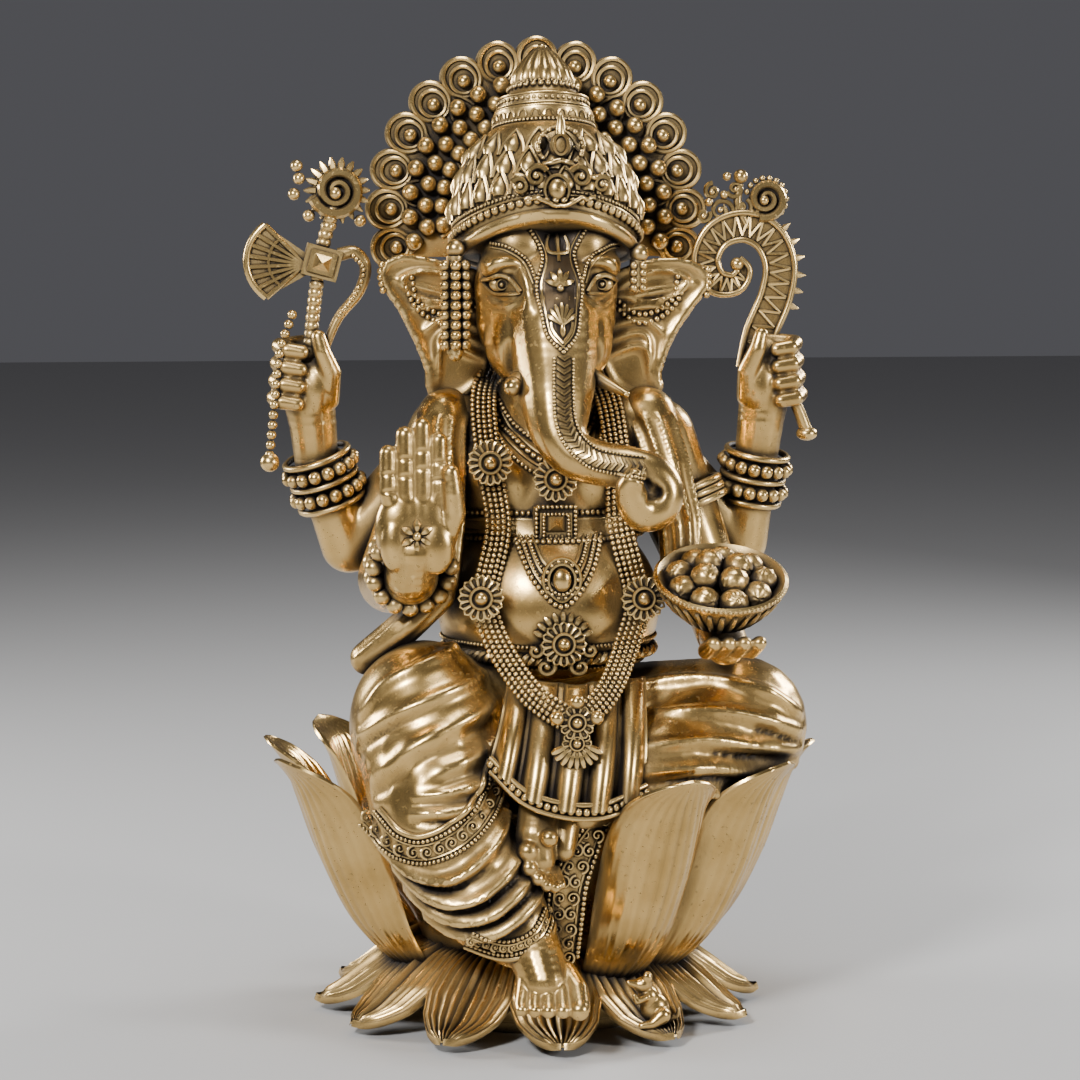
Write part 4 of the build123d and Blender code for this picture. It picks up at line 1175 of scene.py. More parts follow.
# ---------------------------------------------------------------- crown and halo
@dataclass
class Crown:
    """The domed crown, tilted back, with its bands, leaves, front jewel and tassels."""

    centre: tuple = (1.0, -11.0, 156.0)
    lean: float = -11.0
    rim: float = 23.6
    bow: float = 6.5
    leaves: int = 26

    def build(self) -> bpy.types.Object:
        """Makes the crown, its finial and tassels, and returns the dome."""
        shift = tuple(at(*self.centre))
        body = Metal()
        body.lathe(xz((0, -1), (23.0, -1), (25.0, 3), (25.0, 8), (24.0, 13), (22, 19), (18.6, 25),
                      (15.2, 29.2),
                      (13.0, 30.6), (13.6, 31.2), (13.6, 34.2), (12.4, 34.8), (11.4, 35.2), (12.2, 35.8),
                      (12.2, 38.0),
                      (10.6, 38.8), (9.2, 40), (9.0, 41.4), (0, 42)), 96)
        self.ring(body, self.rim, -0.2, 1.75)
        self.ring(body, 25.1, 4.9, 0.45)
        self.bead_ring(body, 25.6, 3.2, 1.15)
        self.bead_ring(body, 25.1, 6.2, 0.6)
        for row, (low, high) in enumerate(((6.8, 15.0), (13.4, 21.6), (20.0, 27.4))):
            count = self.leaves - 4 * row
            for turn in range(count):
                self.leaf(body, AROUND * (turn + 0.5 * (row % 2)) / count, low, high, count)
        self.bead_ring(body, 13.7, 30.6, 0.55)
        for turn in range(24):
            angle = AROUND * turn / 24
            way = np.array([math.cos(angle), math.sin(angle), 0])
            side = np.array([-way[1], way[0], 0])
            arch = [way * 13.7 + side * 1.2 * math.cos(a) + (0, 0, 31.7 + 1.7 * math.sin(a))
                    for a in np.linspace(0, math.pi, 7)]
            body.tube(np.array(arch), 0.32, 5)
        for height, reach in ((34.6, 13.0), (35.5, 12.5), (38.2, 12.2)):
            self.ring(body, reach, height, 0.42)
        self.bead_ring(body, 12.2, 36.9, 0.62, 2.6)
        self.bead_ring(body, 9.0, 41.2, 0.95)
        for row in body.rows:
            front = np.clip(-row[:, 1] / 25, 0, 1) ** 2 - 0.45
            row[:, 2] += self.bow * front * np.clip(1 - row[:, 2] / 20, 0, 1)
        body.moved(0, self.lean, shift)
        dome = place_piece(body.raw("crown_form"), "crown")
        bud = Metal()
        bud.lathe(xz((0, 41.6), (7.6, 41.8), (8.2, 43.2), (7.4, 46), (5.6, 48.8), (3.4, 51.2),
                     (1.6, 52.8), (0, 53)),
                  96, 16, 0.09)
        bud.ball((0, 0, 52.8), 1.3, fine=True)
        self.bead_ring(bud, 8.3, 42.2, 0.55)
        bud.moved(0, self.lean, shift)
        place_piece(bud.raw("finial_form"), "crown_finial")
        self.jewel(Skin(dome))
        self.tassels()
        return dome

    @staticmethod
    def ring(body: Metal, reach: float, height: float, thick: float) -> None:
        """Adds a plain ring."""
        turns = np.linspace(0, AROUND, 72, endpoint=False)
        path = np.stack([reach * np.cos(turns), reach * np.sin(turns), np.full(72, height)], axis=1)
        body.tube(path, thick, 8, closed=True)

    @staticmethod
    def bead_ring(body: Metal, reach: float, height: float, radius: float, pitch: float = 2.05) -> None:
        """Adds a ring of beads."""
        count = int(AROUND * reach / (radius * pitch))
        for turn in range(count):
            angle = AROUND * turn / count
            body.ball((reach * math.cos(angle), reach * math.sin(angle), height), radius)

    @staticmethod
    def leaf(body: Metal, angle: float, low: float, high: float, count: int) -> None:
        """Adds one pointed leaf on the dome: a raised edge round a swelling with a vein."""
        profile = xz((25.2, 3), (25.0, 8), (24.0, 13), (22, 19), (18.6, 25), (15.2, 29.2))
        half = math.pi / count * 0.94
        share = np.linspace(0, 1, 9)
        for side in (-1, 1):
            heights = low + (high - low) * share
            turns = angle + side * half * np.cos(share * math.pi / 2) ** 0.8
            radii = np.interp(heights, profile[:, 1], profile[:, 0]) + 0.45 + 0.3 * share
            body.tube(np.stack([radii * np.cos(turns), radii * np.sin(turns), heights], axis=1), 0.5, 6)
        heights = np.linspace(low + 0.4, high - 1.2, 6)
        radii = np.interp(heights, profile[:, 1], profile[:, 0]) + 0.1
        body.tube(np.stack([radii * math.cos(angle), radii * math.sin(angle), heights], axis=1),
                  np.array([1.6, 2.3, 2.3, 1.8, 1.1, 0.4]), 10, flat=0.62)

    def jewel(self, skin: Skin) -> None:
        """The beaded ring, scrolls and gem at the crown's front."""
        trim = Metal()
        top = skin.front(2.2, 180.5, -28, 1.0)
        turns = np.linspace(0, AROUND, 40, endpoint=False)[:, None]
        oval = top + np.hstack([6.0 * np.cos(turns), 0.9 * np.sin(turns) - 0.4, 5.0 * np.sin(turns)])
        trim.tube(oval, 0.75, 8, closed=True)
        for centre in spaced(np.vstack([oval, oval[:1]]), 2.4):
            trim.ball(centre + (0, -0.8, 0), 0.75)
        trim.ball(top + (0, -0.6, 0), (3.0, 1.4, 3.6), fine=True)
        drop = np.array([(1.9 * math.sin(a), -2.2, 2.7 * -math.cos(a) + 0.5)
                         for a in np.linspace(0, AROUND, 24)[:-1]])
        trim.tube(top + drop, 0.42, 6, closed=True)
        trim.tube(top + np.array([(0, -1.2, 3.4), (0, -1.4, 6.6), (0, -0.6, 8.8)]),
                  np.array([1.5, 1.1, 0.3]), 8)
        for side in (-1, 1):
            low = skin.front(2.2 + side * 5.6, 172.6, -30, 1.2)
            trim.scroll(low, 90 + side * 60, 1.3, 3.0, 0.85, -side)
            far = skin.front(2.2 + side * 10.6, 170.6, -28, 1.2)
            trim.scroll(far, 90 - side * 60, 1.2, 2.4, 0.75, side)
            arm = skin.lay(xz((2.2, 177), (2.2 + side * 4, 176), (2.2 + side * 8, 172.6),
                              (2.2 + side * 11, 173)), 14, 1.0)
            trim.tube(arm, 0.75, 8)
            bow = skin.lay(xz((2.2, 166), (2.2 + side * 5, 167.2), (2.2 + side * 9, 167.6)), 12, 1.0)
            trim.tube(bow, 0.6, 8)
        gem = skin.front(2.4, 170.2, -34, 1.2)
        trim.ball(gem, (2.4, 1.7, 3.0), fine=True)
        trim.tube(gem + np.hstack([3.2 * np.cos(turns), 0 * turns, 3.8 * np.sin(turns)]), 0.5, 6,
                  closed=True)
        place_piece(trim.raw("crown_jewel"))

    def tassels(self) -> None:
        """The bead tassels beside the face."""
        trim = Metal()
        for column, x in enumerate((-27.3, -24.6, -21.9)):
            for row in range(9):
                trim.ball(at(x, -23.4 - 1.3 * (column == 1), 149.6 - 2.65 * row), 1.5, fine=True)
        trim.tube(points((-24.5, -21, 152), (-24.5, -22, 126)), 2.3, 12)
        trim.ball(at(-24.3, -21, 154), 2.6, fine=True)
        trim.ball(at(-24.5, -22.4, 125.8), 1.9, fine=True)
        trim.ball(at(25.3, -20, 152.6), 2.6, fine=True)
        for x in (23.6, 26.2):
            for row in range(4):
                trim.ball(at(x, -21.6, 149.4 - 2.0 * row), 1.2)
        trim.tube(points((25, -19.5, 151), (25.2, -20, 143.6)), 2.2, 12)
        place_piece(trim.raw("tassels"), "crown_tassels")


@dataclass
class Halo:
    """The feather fan behind the crown."""

    centre: tuple = (1.0, 12.4, 164.0)
    reach: float = 41.5
    eyes: int = 15
    eye: float = 6.0

    def build(self) -> None:
        """Makes the fan with its eyes, leaf ridges and three rows of balls."""
        fan = Metal()
        arc = np.linspace(math.radians(-19), math.radians(199), 90)
        outline = np.stack([self.centre[0] + 40.5 * np.cos(arc), self.centre[2] + 40.5 * np.sin(arc)],
                           axis=1)
        fan.plate(outline[::-1], self.centre[1], self.centre[1] + 3.8)
        back = at(*self.centre) + (0, 3.8, 0)
        for index in range(self.eyes):
            angle = math.radians(15 * index - 15)
            self.feather(fan, angle)
            fan.tube(back + np.outer([12, 22, 40], facing(angle)), np.array([0.6, 0.9, 1.2]), 8)
        for index in range(44):
            angle = math.radians(-14 + 208 * index / 43)
            share = np.linspace(0, 1, 10)
            sway = angle + 0.035 * np.sin(share * AROUND * 1.4 + index)
            reach = 17 + 10.6 * share
            path = np.stack([reach * np.cos(sway), -0.6 - 0.9 * np.sin(share * math.pi),
                             reach * np.sin(sway)], axis=1)
            fan.tube(path + at(*self.centre), 0.95 - 0.35 * share, 6)
        place_piece(fan.raw("halo_form"), "halo")
        balls = Metal()
        for reach, count, start in ((35.4, 20, -14.5), (31.0, 19, -9.0), (26.6, 19, -9.0)):
            for index in range(count):
                angle = math.radians(start + 11 * index)
                spot = at(*self.centre) + (reach * math.cos(angle), -1.9, reach * math.sin(angle))
                balls.ball(spot, 2.45, fine=True)
                balls.tube(np.array([spot, spot + (0, 3, 0)]), 1.1, 8)
        place_piece(balls.raw("halo_balls"), "halo_beads")

    def feather(self, fan: Metal, angle: float) -> None:
        """Adds one feather eye: a lobe, nested arches and a disc."""
        out = facing(angle)
        side = np.array([-out[2], 0, out[0]])
        spot = at(*self.centre) + out * self.reach
        fan.tube(np.array([spot + (0, 3.6, 0), spot + (0, 0.1, 0)]), self.eye, 32)
        turns = np.linspace(0, AROUND, 32, endpoint=False)[:, None]
        for reach, drift, thick, lift in ((5.35, 0.0, 0.72, 0.1), (3.7, -0.7, 0.6, 0.5)):
            loop = out * (drift + reach * np.cos(turns)) + side * reach * 0.94 * np.sin(turns)
            fan.tube(spot + loop - (0, lift, 0), thick, 7, closed=True)
        fan.ball(spot - out * 1.1 - (0, 0.6, 0), 1.95, fine=True)
        for hand in (-1, 1):
            stem = np.outer(np.linspace(-4.6, -8, 4), out) + np.outer([2.6, 1.9, 1.2, 0.8], side) * hand
            fan.tube(spot + stem - (0, 0.3, 0), 0.6, 6)


# ---------------------------------------------------------------- ornaments on the figure
def across(route: np.ndarray, offset: float) -> np.ndarray:
    """A route of x and height moved sideways."""
    ahead = unit(np.gradient(route, axis=0))
    return route + np.stack([-ahead[:, 1], ahead[:, 0]], axis=1) * offset


def sheet(metal: Metal, first: np.ndarray, second: np.ndarray, columns: int = 7, thick: float = 0.8,
          swell: float = 0.0) -> None:
    """Adds a strip between two paths of equal length.

    Args:
        metal: Where it goes.
        first: One edge.
        second: The other edge.
        columns: Points across.
        thick: The wall, set behind the front.
        swell: How far the middle stands out.
    """
    share = np.linspace(0, 1, columns)[None, :, None]
    front = first[:, None, :] * (1 - share) + second[:, None, :] * share
    front = front - np.array([0, swell, 0]) * np.sin(share * math.pi)
    metal.slab(front, front + (0, thick, 0))


@dataclass
class Face:
    """The forehead panel and the chain down the trunk."""

    middle: float = 2.4

    def build(self, skin: Skin) -> None:
        """Lays the ornaments on the head."""
        panel = Metal()
        left = flow(xz((-6.0, 160.5), (-1.9, 152.6), (-3.5, 145), (-2.8, 137.5), (-1.5, 131.4),
                       (self.middle - 0.1, 127.2)), 60)
        right = flow(xz((10.6, 160.5), (6.7, 152.6), (8.3, 145), (7.5, 137.5), (6.2, 131.4),
                        (self.middle + 0.1, 127.2)), 60)
        grid = [skin.lay(left * (1 - s) + right * s, 60, 0.12) for s in np.linspace(0, 1, 7)]
        for one, two in zip(grid, grid[1:]):
            sheet(panel, one, two, 2, 0.7)
        place_piece(panel.raw("forehead_panel"), finish=Finish.DEEP)
        trim = Metal()
        for route, hand in ((left, -1), (right, 1)):
            trim.beads(skin.lay(route, 90, 0.4), 0.56)
            trim.tube(skin.lay(across(route, hand * -1.1), 60, 0.15), 0.3, 6)
        for side in (-1, 1):
            x = self.middle + side * 5.9
            brow = xz((x + side * 11.4, 155.6), (x + side * 7.2, 154.6), (x + side * 2.4, 151), (x, 145.4))
            trim.beads(skin.lay(brow, 60, 0.35), 0.5)
            trim.tube(skin.lay(across(flow(brow, 40), side * 1.1), 50, 0.2), 0.34, 6)
        self.marks(trim, skin)
        self.chain(trim, skin)
        place_piece(trim.raw("face_trim"))

    def marks(self, trim: Metal, skin: Skin) -> None:
        """A trident, a small lotus and a palmette, one above the other."""
        x = self.middle
        stem = np.array([0.4, 0.45, 0.5, 0.55, 0.6, 0.9, 0.7, 0.1])
        trim.tube(skin.lay(xz((x, 150.6), (x, 158.2)), 8, 0.5), stem, 6)
        for side in (-1, 1):
            prong = xz((x, 152.6), (x + side * 2.4, 152.9), (x + side * 3.0, 155.2),
                       (x + side * 2.3, 157.4))
            trim.tube(skin.lay(prong, 10, 0.5), 0.55, 6)
        for turn in range(5):
            angle = math.radians(18 + 36 * turn)
            tip = (x + 4.0 * math.cos(angle), 144.4 + 4.4 * math.sin(angle))
            trim.tube(skin.lay(xz((x, 144.4), tip), 6, 0.5), np.array([0.4, 0.9, 1.1, 1.0, 0.7, 0.2]), 6)
        trim.ball(skin.front(x, 143.6, -30, 0.6), 1.1)
        for turn in range(7):
            angle = math.radians(18 + 24 * turn)
            tip = (x + 3.9 * math.cos(angle), 135.4 + 4.4 * math.sin(angle))
            trim.tube(skin.lay(xz((x, 134), tip), 6, 0.5), np.array([0.35, 0.4, 0.5, 0.65, 0.75, 0.3]), 6)
        for side in (-1, 1):
            low = xz((x, 129.4), (x + side * 2.4, 132.6), (x + side * 2.8, 134.8))
            trim.tube(skin.lay(low, 8, 0.45), 0.45, 6)
        trim.ball(skin.front(x, 132.6, -30, 0.5), (0.8, 0.6, 2.0), fine=True)

    def chain(self, trim: Metal, skin: Skin) -> None:
        """The chevron chain between two rows of beads."""
        route = flow(xz((2.5, 125.4), (2.0, 118), (2.2, 110), (4.4, 104.4), (9, 100.4), (15, 99),
                        (21.5, 98.2)), 60)
        for side in (-1, 1):
            trim.beads(skin.lay(across(route, side * 2.5), 120, 0.35), 0.5)
        links = spaced(np.stack([route[:, 0], 0 * route[:, 0], route[:, 1]], axis=1), 1.75)
        ahead = unit(np.gradient(links, axis=0))
        for spot, way in zip(links, ahead):
            side = np.array([-way[2], 0, way[0]])
            ends = [spot + side * 1.7 - way * 0.9, spot + way * 0.3, spot - side * 1.7 - way * 0.9]
            trim.tube(np.array([skin.front(end[0], end[2], -40, 0.35) for end in ends]), 0.42, 5)


@dataclass
class Jewels:
    """Garland, necklaces, belts and pendants."""

    strands: tuple = (-2.9, -1.45, 0.0, 1.45, 2.9)
    bead: float = 0.76

    def build(self, skin: Skin) -> None:
        """Lays every ornament on the body."""
        self.garland(skin)
        self.flowers(skin)
        self.belts(skin)
        self.necklaces(skin)

    def garland(self, skin: Skin) -> None:
        """The long five-strand garland."""
        trim = Metal()
        right = points((-13, -6, 121), (-16.5, -19, 113), (-16, -29, 97), (-14, -35, 80), (-18, -40, 62),
                       (-15, -45, 50), (-7, -54, 38), (3.5, -60, 31))
        left = points((16, -6, 119), (18, -19, 111), (19, -29, 96), (19, -34, 80), (23, -38, 61),
                      (20, -43, 50),
                      (13, -54, 38), (4, -60, 31))
        for route in (right, left):
            path = flow(route, 120)
            for offset in self.strands:
                flat = across(path[:, [0, 2]], offset)
                rows = []
                for (x, height), spare in zip(flat, path[:, 1]):
                    met = skin.front(x, height - SEAT, spare, 0.5)
                    rows.append((x, min(met[1], spare + 3) - 0.5 * math.cos(offset / 2.2), height))
                rows = np.array(rows)
                for _ in range(3):
                    rows[1:-1] = (rows[:-2] + 2 * rows[1:-1] + rows[2:]) / 4
                trim.beads(rows, self.bead)
        place_piece(trim.raw("garland_form"), "garland")

    def flowers(self, skin: Skin) -> None:
        """The rosettes, and the pendant below the garland."""
        trim = Metal()
        for x, z, depth in ((-15.9, 97, -34), (-18.8, 62.4, -45), (22.9, 61.5, -42), (1.3, 92.5, -33),
                            (2.4, 50.3, -43)):
            spot = skin.front(x, z, depth, 1.6)
            spot[1] = min(spot[1], depth + 1)
            trim.flower(spot, 5.9, 16)
        belly = skin.front(2.4, 50.3, -43, 1.0)
        for side in (-1, 1):
            trim.scroll(belly + (side * 4.6, 0, -6.4), 90, 1.25, 3.0, 0.8, side)
            trim.scroll(belly + (side * 7.4, 0, -2.0), 90 + side * 40, 1.1, 2.2, 0.7, side)
        for turn in range(9):
            angle = math.radians(20 + 140 * turn / 8)
            way = facing(angle)
            trim.tube(belly + np.outer(np.linspace(4, 8.4, 5), way), np.array([0.5, 0.8, 1.0, 1.0, 0.4]), 6)
        spot = at(3.8, -61.5, 32)
        trim.flower(spot, 4.6, 12)
        for x, z in ((0, 5.4), (-5.2, 1.2), (5.2, 1.2)):
            trim.ball(spot + (x, -0.4, z), 1.9, fine=True)
        trim.flower(spot + (0, 0.4, -5.6), 3.8, 12)
        for turn in range(9):
            angle = math.radians(205 + 130 * turn / 8)
            way = facing(angle)
            trim.tube(spot + (0, 0.4, -5.2) + np.outer(np.linspace(2.6, 7.2, 5), way),
                      np.array([0.5, 0.8, 1, 1, 0.5]), 6)
        place_piece(trim.raw("flower_bosses"), "rosettes")

    def belts(self, skin: Skin) -> None:
        """The chest belt with its square buckle, and the twisted cord at the waist."""
        trim = Metal()
        for z, radius in ((83.4, 0.8), (76.2, 0.8)):
            trim.beads(self.circle(skin, z, 0.5, 150), radius)
        for z in (81.6, 78.0):
            trim.tube(self.circle(skin, z, 0.2, 90), 0.7, 8)
        top, low = self.circle(skin, 82.4, 0.25, 90), self.circle(skin, 77, 0.25, 90)
        sheet(trim, top, low, 5, 0.6, 0.3)
        spot = skin.front(1.6, 79.5, -37, 1.0)
        for half, depth in ((5.9, 1.4), (4.3, 2.4)):
            trim.plate(xz((1.6 - half, 79.5 - half), (1.6 + half, 79.5 - half), (1.6 + half, 79.5 + half),
                          (1.6 - half, 79.5 + half)), spot[1] - depth, spot[1] + 2)
        corner = np.array([(-5.2, -2.0, -5.2), (5.2, -2.0, -5.2), (5.2, -2.0, 5.2), (-5.2, -2.0, 5.2),
                           (-5.2, -2.0, -5.2)])
        trim.beads(spot + (1.6 - spot[0], 0, 0) + corner, 0.62)
        trim.beads(spot + (1.6 - spot[0], -1.0, 0) + corner * (0.64, 1, 0.64), 0.5)
        verts = np.array([(-2.6, 0, -1.6), (2.6, 0, -1.6), (2.6, 0, 3.4), (-2.6, 0, 3.4),
                          (0, -3.0, 0.9)]) + spot - (0, 2.4, 0)
        trim.add(verts, PYRAMID)
        for index in range(5):
            x = spot[0] - 3.2 + 1.6 * index
            trim.tube(np.array([(x, spot[1] - 2.4, spot[2] - 2.2), (x, spot[1] - 2.4, spot[2] - 4.0)]),
                      0.5, 6)
        place_piece(trim.raw("chest_belt"), "chest_band")
        cord = Metal()
        for phase in (0, math.pi):
            path = self.circle(skin, 45.2, 1.0, 400)
            turns = np.linspace(0, AROUND * 46, 400) + phase
            out = unit(path - at(1, -11, 45.2))
            cord.tube(path + out * np.cos(turns)[:, None] * 0.85 + np.outer(np.sin(turns), (0, 0, 0.85)),
                      1.0, 6)
        for z in (48.6, 42.4):
            cord.beads(self.circle(skin, z, 0.4, 150), 0.6)
        place_piece(cord.raw("waist_cord"))

    @staticmethod
    def circle(skin: Skin, z: float, lift: float, count: int) -> np.ndarray:
        """A level path right round the body, ends apart by a hair."""
        rows = []
        middle = Vector(at(1, -8, z))
        for angle in np.linspace(0.5 * math.pi + 0.01, 2.5 * math.pi - 0.01, count):
            way = Vector((math.cos(angle), math.sin(angle), 0))
            hit, normal, _, _ = skin.tree.ray_cast(middle + way * 60, -way)
            rows.append(np.array(hit if hit is not None else middle + way * 28) + np.array(way) * lift)
        rows = np.array(rows)
        rows[1:-1] = (rows[:-2] + 2 * rows[1:-1] + rows[2:]) / 4
        return rows

    def necklaces(self, skin: Skin) -> None:
        """The collar, the bead strings on the chest and the belly pendant."""
        trim = Metal()
        collars = (((-14, 113), (-9, 103), (1, 96.5), (11, 103), (16, 112), 0.95),
                   ((-12.5, 115), (-8, 106.5), (1, 100.5), (10, 106.5), (15, 114), 0.7),
                   ((-15.5, 110), (-10, 99), (1, 92.6), (12, 99), (18, 109), 0.7))
        for *route, radius in collars:
            trim.beads(skin.lay(np.array(route), 90, 0.4), radius)
        middle = flow(np.array(collars[0][:5]), 40)
        for side in (-1, 1):
            trim.tube(skin.lay(across(middle, side * 1.5), 60, 0.2), 0.45, 6)
        place_piece(trim.raw("collar_form"), "collar")
        gem = Metal()
        for start, low, end, radius in (((-9.6, 78), (2.2, 59.6), (14.4, 78), 0.8),
                                        ((-7.8, 77.6), (2.2, 62.8), (12.6, 77.6), 0.55),
                                        ((-6, 77.2), (2.2, 67), (10.4, 77.2), 0.55)):
            route = xz(start, (start[0] * 0.62 + 0.6, (start[1] + low[1]) / 2 - 2), low,
                       (end[0] * 0.62 + 0.8, (end[1] + low[1]) / 2 - 2), end)
            gem.beads(skin.lay(route, 90, 0.4), radius)
            gem.tube(skin.lay(across(flow(route, 60), 1.25), 70, 0.2), 0.5, 6)
        spot = skin.front(2.2, 66.4, -42, 1.0)
        gem.ball(spot - (0, 0.6, 0), (2.5, 1.6, 3.2), fine=True)
        turns = np.linspace(0, AROUND, 32, endpoint=False)[:, None]
        for reach, thick in ((3.6, 0.55), (5.0, 0.5)):
            gem.tube(spot + np.hstack([reach * np.cos(turns), 0 * turns, reach * 1.16 * np.sin(turns)]),
                     thick, 6, True)
        for turn in range(14):
            angle = AROUND * turn / 14
            gem.ball(spot + (4.3 * math.cos(angle), -0.3, 5.0 * math.sin(angle)), 0.62)
        place_piece(gem.raw("belly_pendant"), "pendant")


# Each shawl's name, node and runs, a run's stations being x, y, height above the seat, and radius.
SHAWLS = (
    ("right_shawl", "right_sash",
     (((-22, 4, 112, 7), (-27, -12, 108, 7.5), (-28, -21, 94, 6.8), (-28, -27, 80, 5.8), (-29, -30, 66, 5)),
      ((-30, -29, 62, 5), (-38, -29, 54, 4.8), (-49, -26, 44.5, 4.6)))),
    ("left_shawl", "left_sash",
     (((24, 4, 112, 7.5), (29, -10, 108, 8), (33, -19, 94, 7), (36, -24, 80, 6.2), (36, -27, 68, 5.6)),)))


@dataclass
class Cloth:
    """The pleated front panel, the shawl and the filigree bands."""

    pleats: int = 5
    wall: float = 2.2
    pleat_depth: float = 1.8
    pleat_growth: float = 3.2
    billow: float = 4.0

    def build(self, legs: Skin) -> None:
        """Makes the cloth pieces."""
        self.panel()
        self.strip()
        self.bands(legs)
        self.shawl()

    def panel(self) -> None:
        """The pleated panel with its beaded hem."""
        rows, cols = 30, 121
        share = np.linspace(0, 1, cols)
        top = flow(points((-12, -39, 41), (-4, -41, 40), (6, -42, 39), (16, -41, 40), (25, -38, 40)), cols)
        low = flow(points((-18.5, -54, 20.5), (-10, -58, 12.5), (1, -59.5, 8.8), (12, -58, 8.6),
                          (23, -52, 12)), cols)
        down = np.linspace(0, 1, rows)[:, None, None]
        grid = top[None] * (1 - down) + low[None] * down
        wave = np.clip(1.4 * np.abs(np.sin(share * math.pi * self.pleats)) - 0.4, 0, 1) ** 0.5
        depth = self.pleat_depth + self.pleat_growth * np.linspace(0.3, 1, rows)[:, None]
        grid[:, :, 1] -= depth * wave[None, :] + self.billow * np.sin(down[:, :, 0] * math.pi)
        cloth = Metal()
        cloth.slab(grid, grid + (0, self.wall, 0))
        hem = low - (0, 2.4, 0)
        for drop, thick in ((-1.8, 0.8), (1.8, 0.8)):
            cloth.tube(hem + (0, -0.3, drop), thick, 8)
        cloth.beads(hem + (0, -0.8, 0), 1.05)
        sheet(cloth, hem + (0, 0.2, -2.2), hem + (0, 0.2, 2.2), 4, 1.6)
        place_piece(cloth.raw("front_panel"), "front_cloth")

    def strip(self) -> None:
        """The filigree strip with beaded edges."""
        strip = Metal()
        left = flow(points((8, -52, 4), (2, -53, -4), (-2.2, -52.4, -13), (-3, -50, -24),
                           (-2.6, -46, -34)), 50)
        right = flow(points((14, -50, 4), (10.2, -51.4, -5), (7.4, -51, -14), (6.4, -49, -24),
                            (5.8, -45, -34)), 50)
        sheet(strip, left, right, 5, 1.6, 0.6)
        for edge, side in ((left, 1), (right, -1)):
            strip.beads(edge - (0, 0.6, 0), 0.75)
            strip.tube(edge + (side * 1.5, -0.5, 0), 0.4, 6)
        middle = (left + right) / 2 - (0, 1.0, 0)
        for index, spot in enumerate(spaced(middle, 4.4)):
            for side in (-1, 1):
                strip.scroll(spot + (side * 1.7, 0, 0), 90 + 180 * (index % 2), 1.3, 1.9, 0.42, side)
        place_piece(strip.raw("filigree_form"), "filigree_strip")

    def bands(self, legs: Skin) -> None:
        """The filigree hem across the shin and the band at the ankle."""
        trim = Metal()
        for route, half, count in ((xz((-14.5, 19), (-18, 11), (-26, 3), (-36, -1.6), (-44, -0.4),
                                       (-50, 5)), 2.9, 70),
                                   (xz((-24, -25), (-15, -27.4), (-7, -24.6), (-3, -19.4)), 1.9, 40)):
            path = flow(route, count)
            for side in (-1, 1):
                trim.beads(legs.lay(across(path, side * half), count, 0.35, -46), 0.62)
                trim.tube(legs.lay(across(path, side * (half - 1.0)), count, 0.2, -46), 0.35, 6)
            roll = legs.lay(across(path, -half - 1.5), count, 0.1, -46)
            trim.tube(roll, np.full(count, 1.5 if half > 3 else 0.9), 10)
            flat = spaced(np.stack([path[:, 0], 0 * path[:, 0], path[:, 1]], axis=1), half * 1.15)
            for index, spot in enumerate(flat):
                centre = legs.front(spot[0], spot[2], -46, 0.3)
                trim.scroll(centre, 90 + 180 * (index % 2), 1.4, half * 0.62, 0.42, 1 - 2 * (index % 2))
        place_piece(trim.raw("leg_bands"))

    def shawl(self) -> None:
        """The shawl on both shoulders and its hanging end."""
        for name, node, runs in SHAWLS:
            clay = Clay()
            for run in runs:
                clay.limb(*run)
            thing = clay.skin(f"{name}_form", 0.7, 8)
            folds = []
            for run in runs:
                path = flow(points(*[row[:3] for row in run]), 50)
                reach = np.interp(np.linspace(0, 1, 50), np.linspace(0, 1, len(run)),
                                  [row[3] for row in run])
                for share in (-0.75, -0.25, 0.25, 0.75):
                    folds.append(path + np.stack([share * reach, -reach * math.sqrt(1 - share ** 2),
                                                  0 * reach], axis=1))
            stroke(thing, folds, 1.3, 1.0)
            place_piece(thing, node)


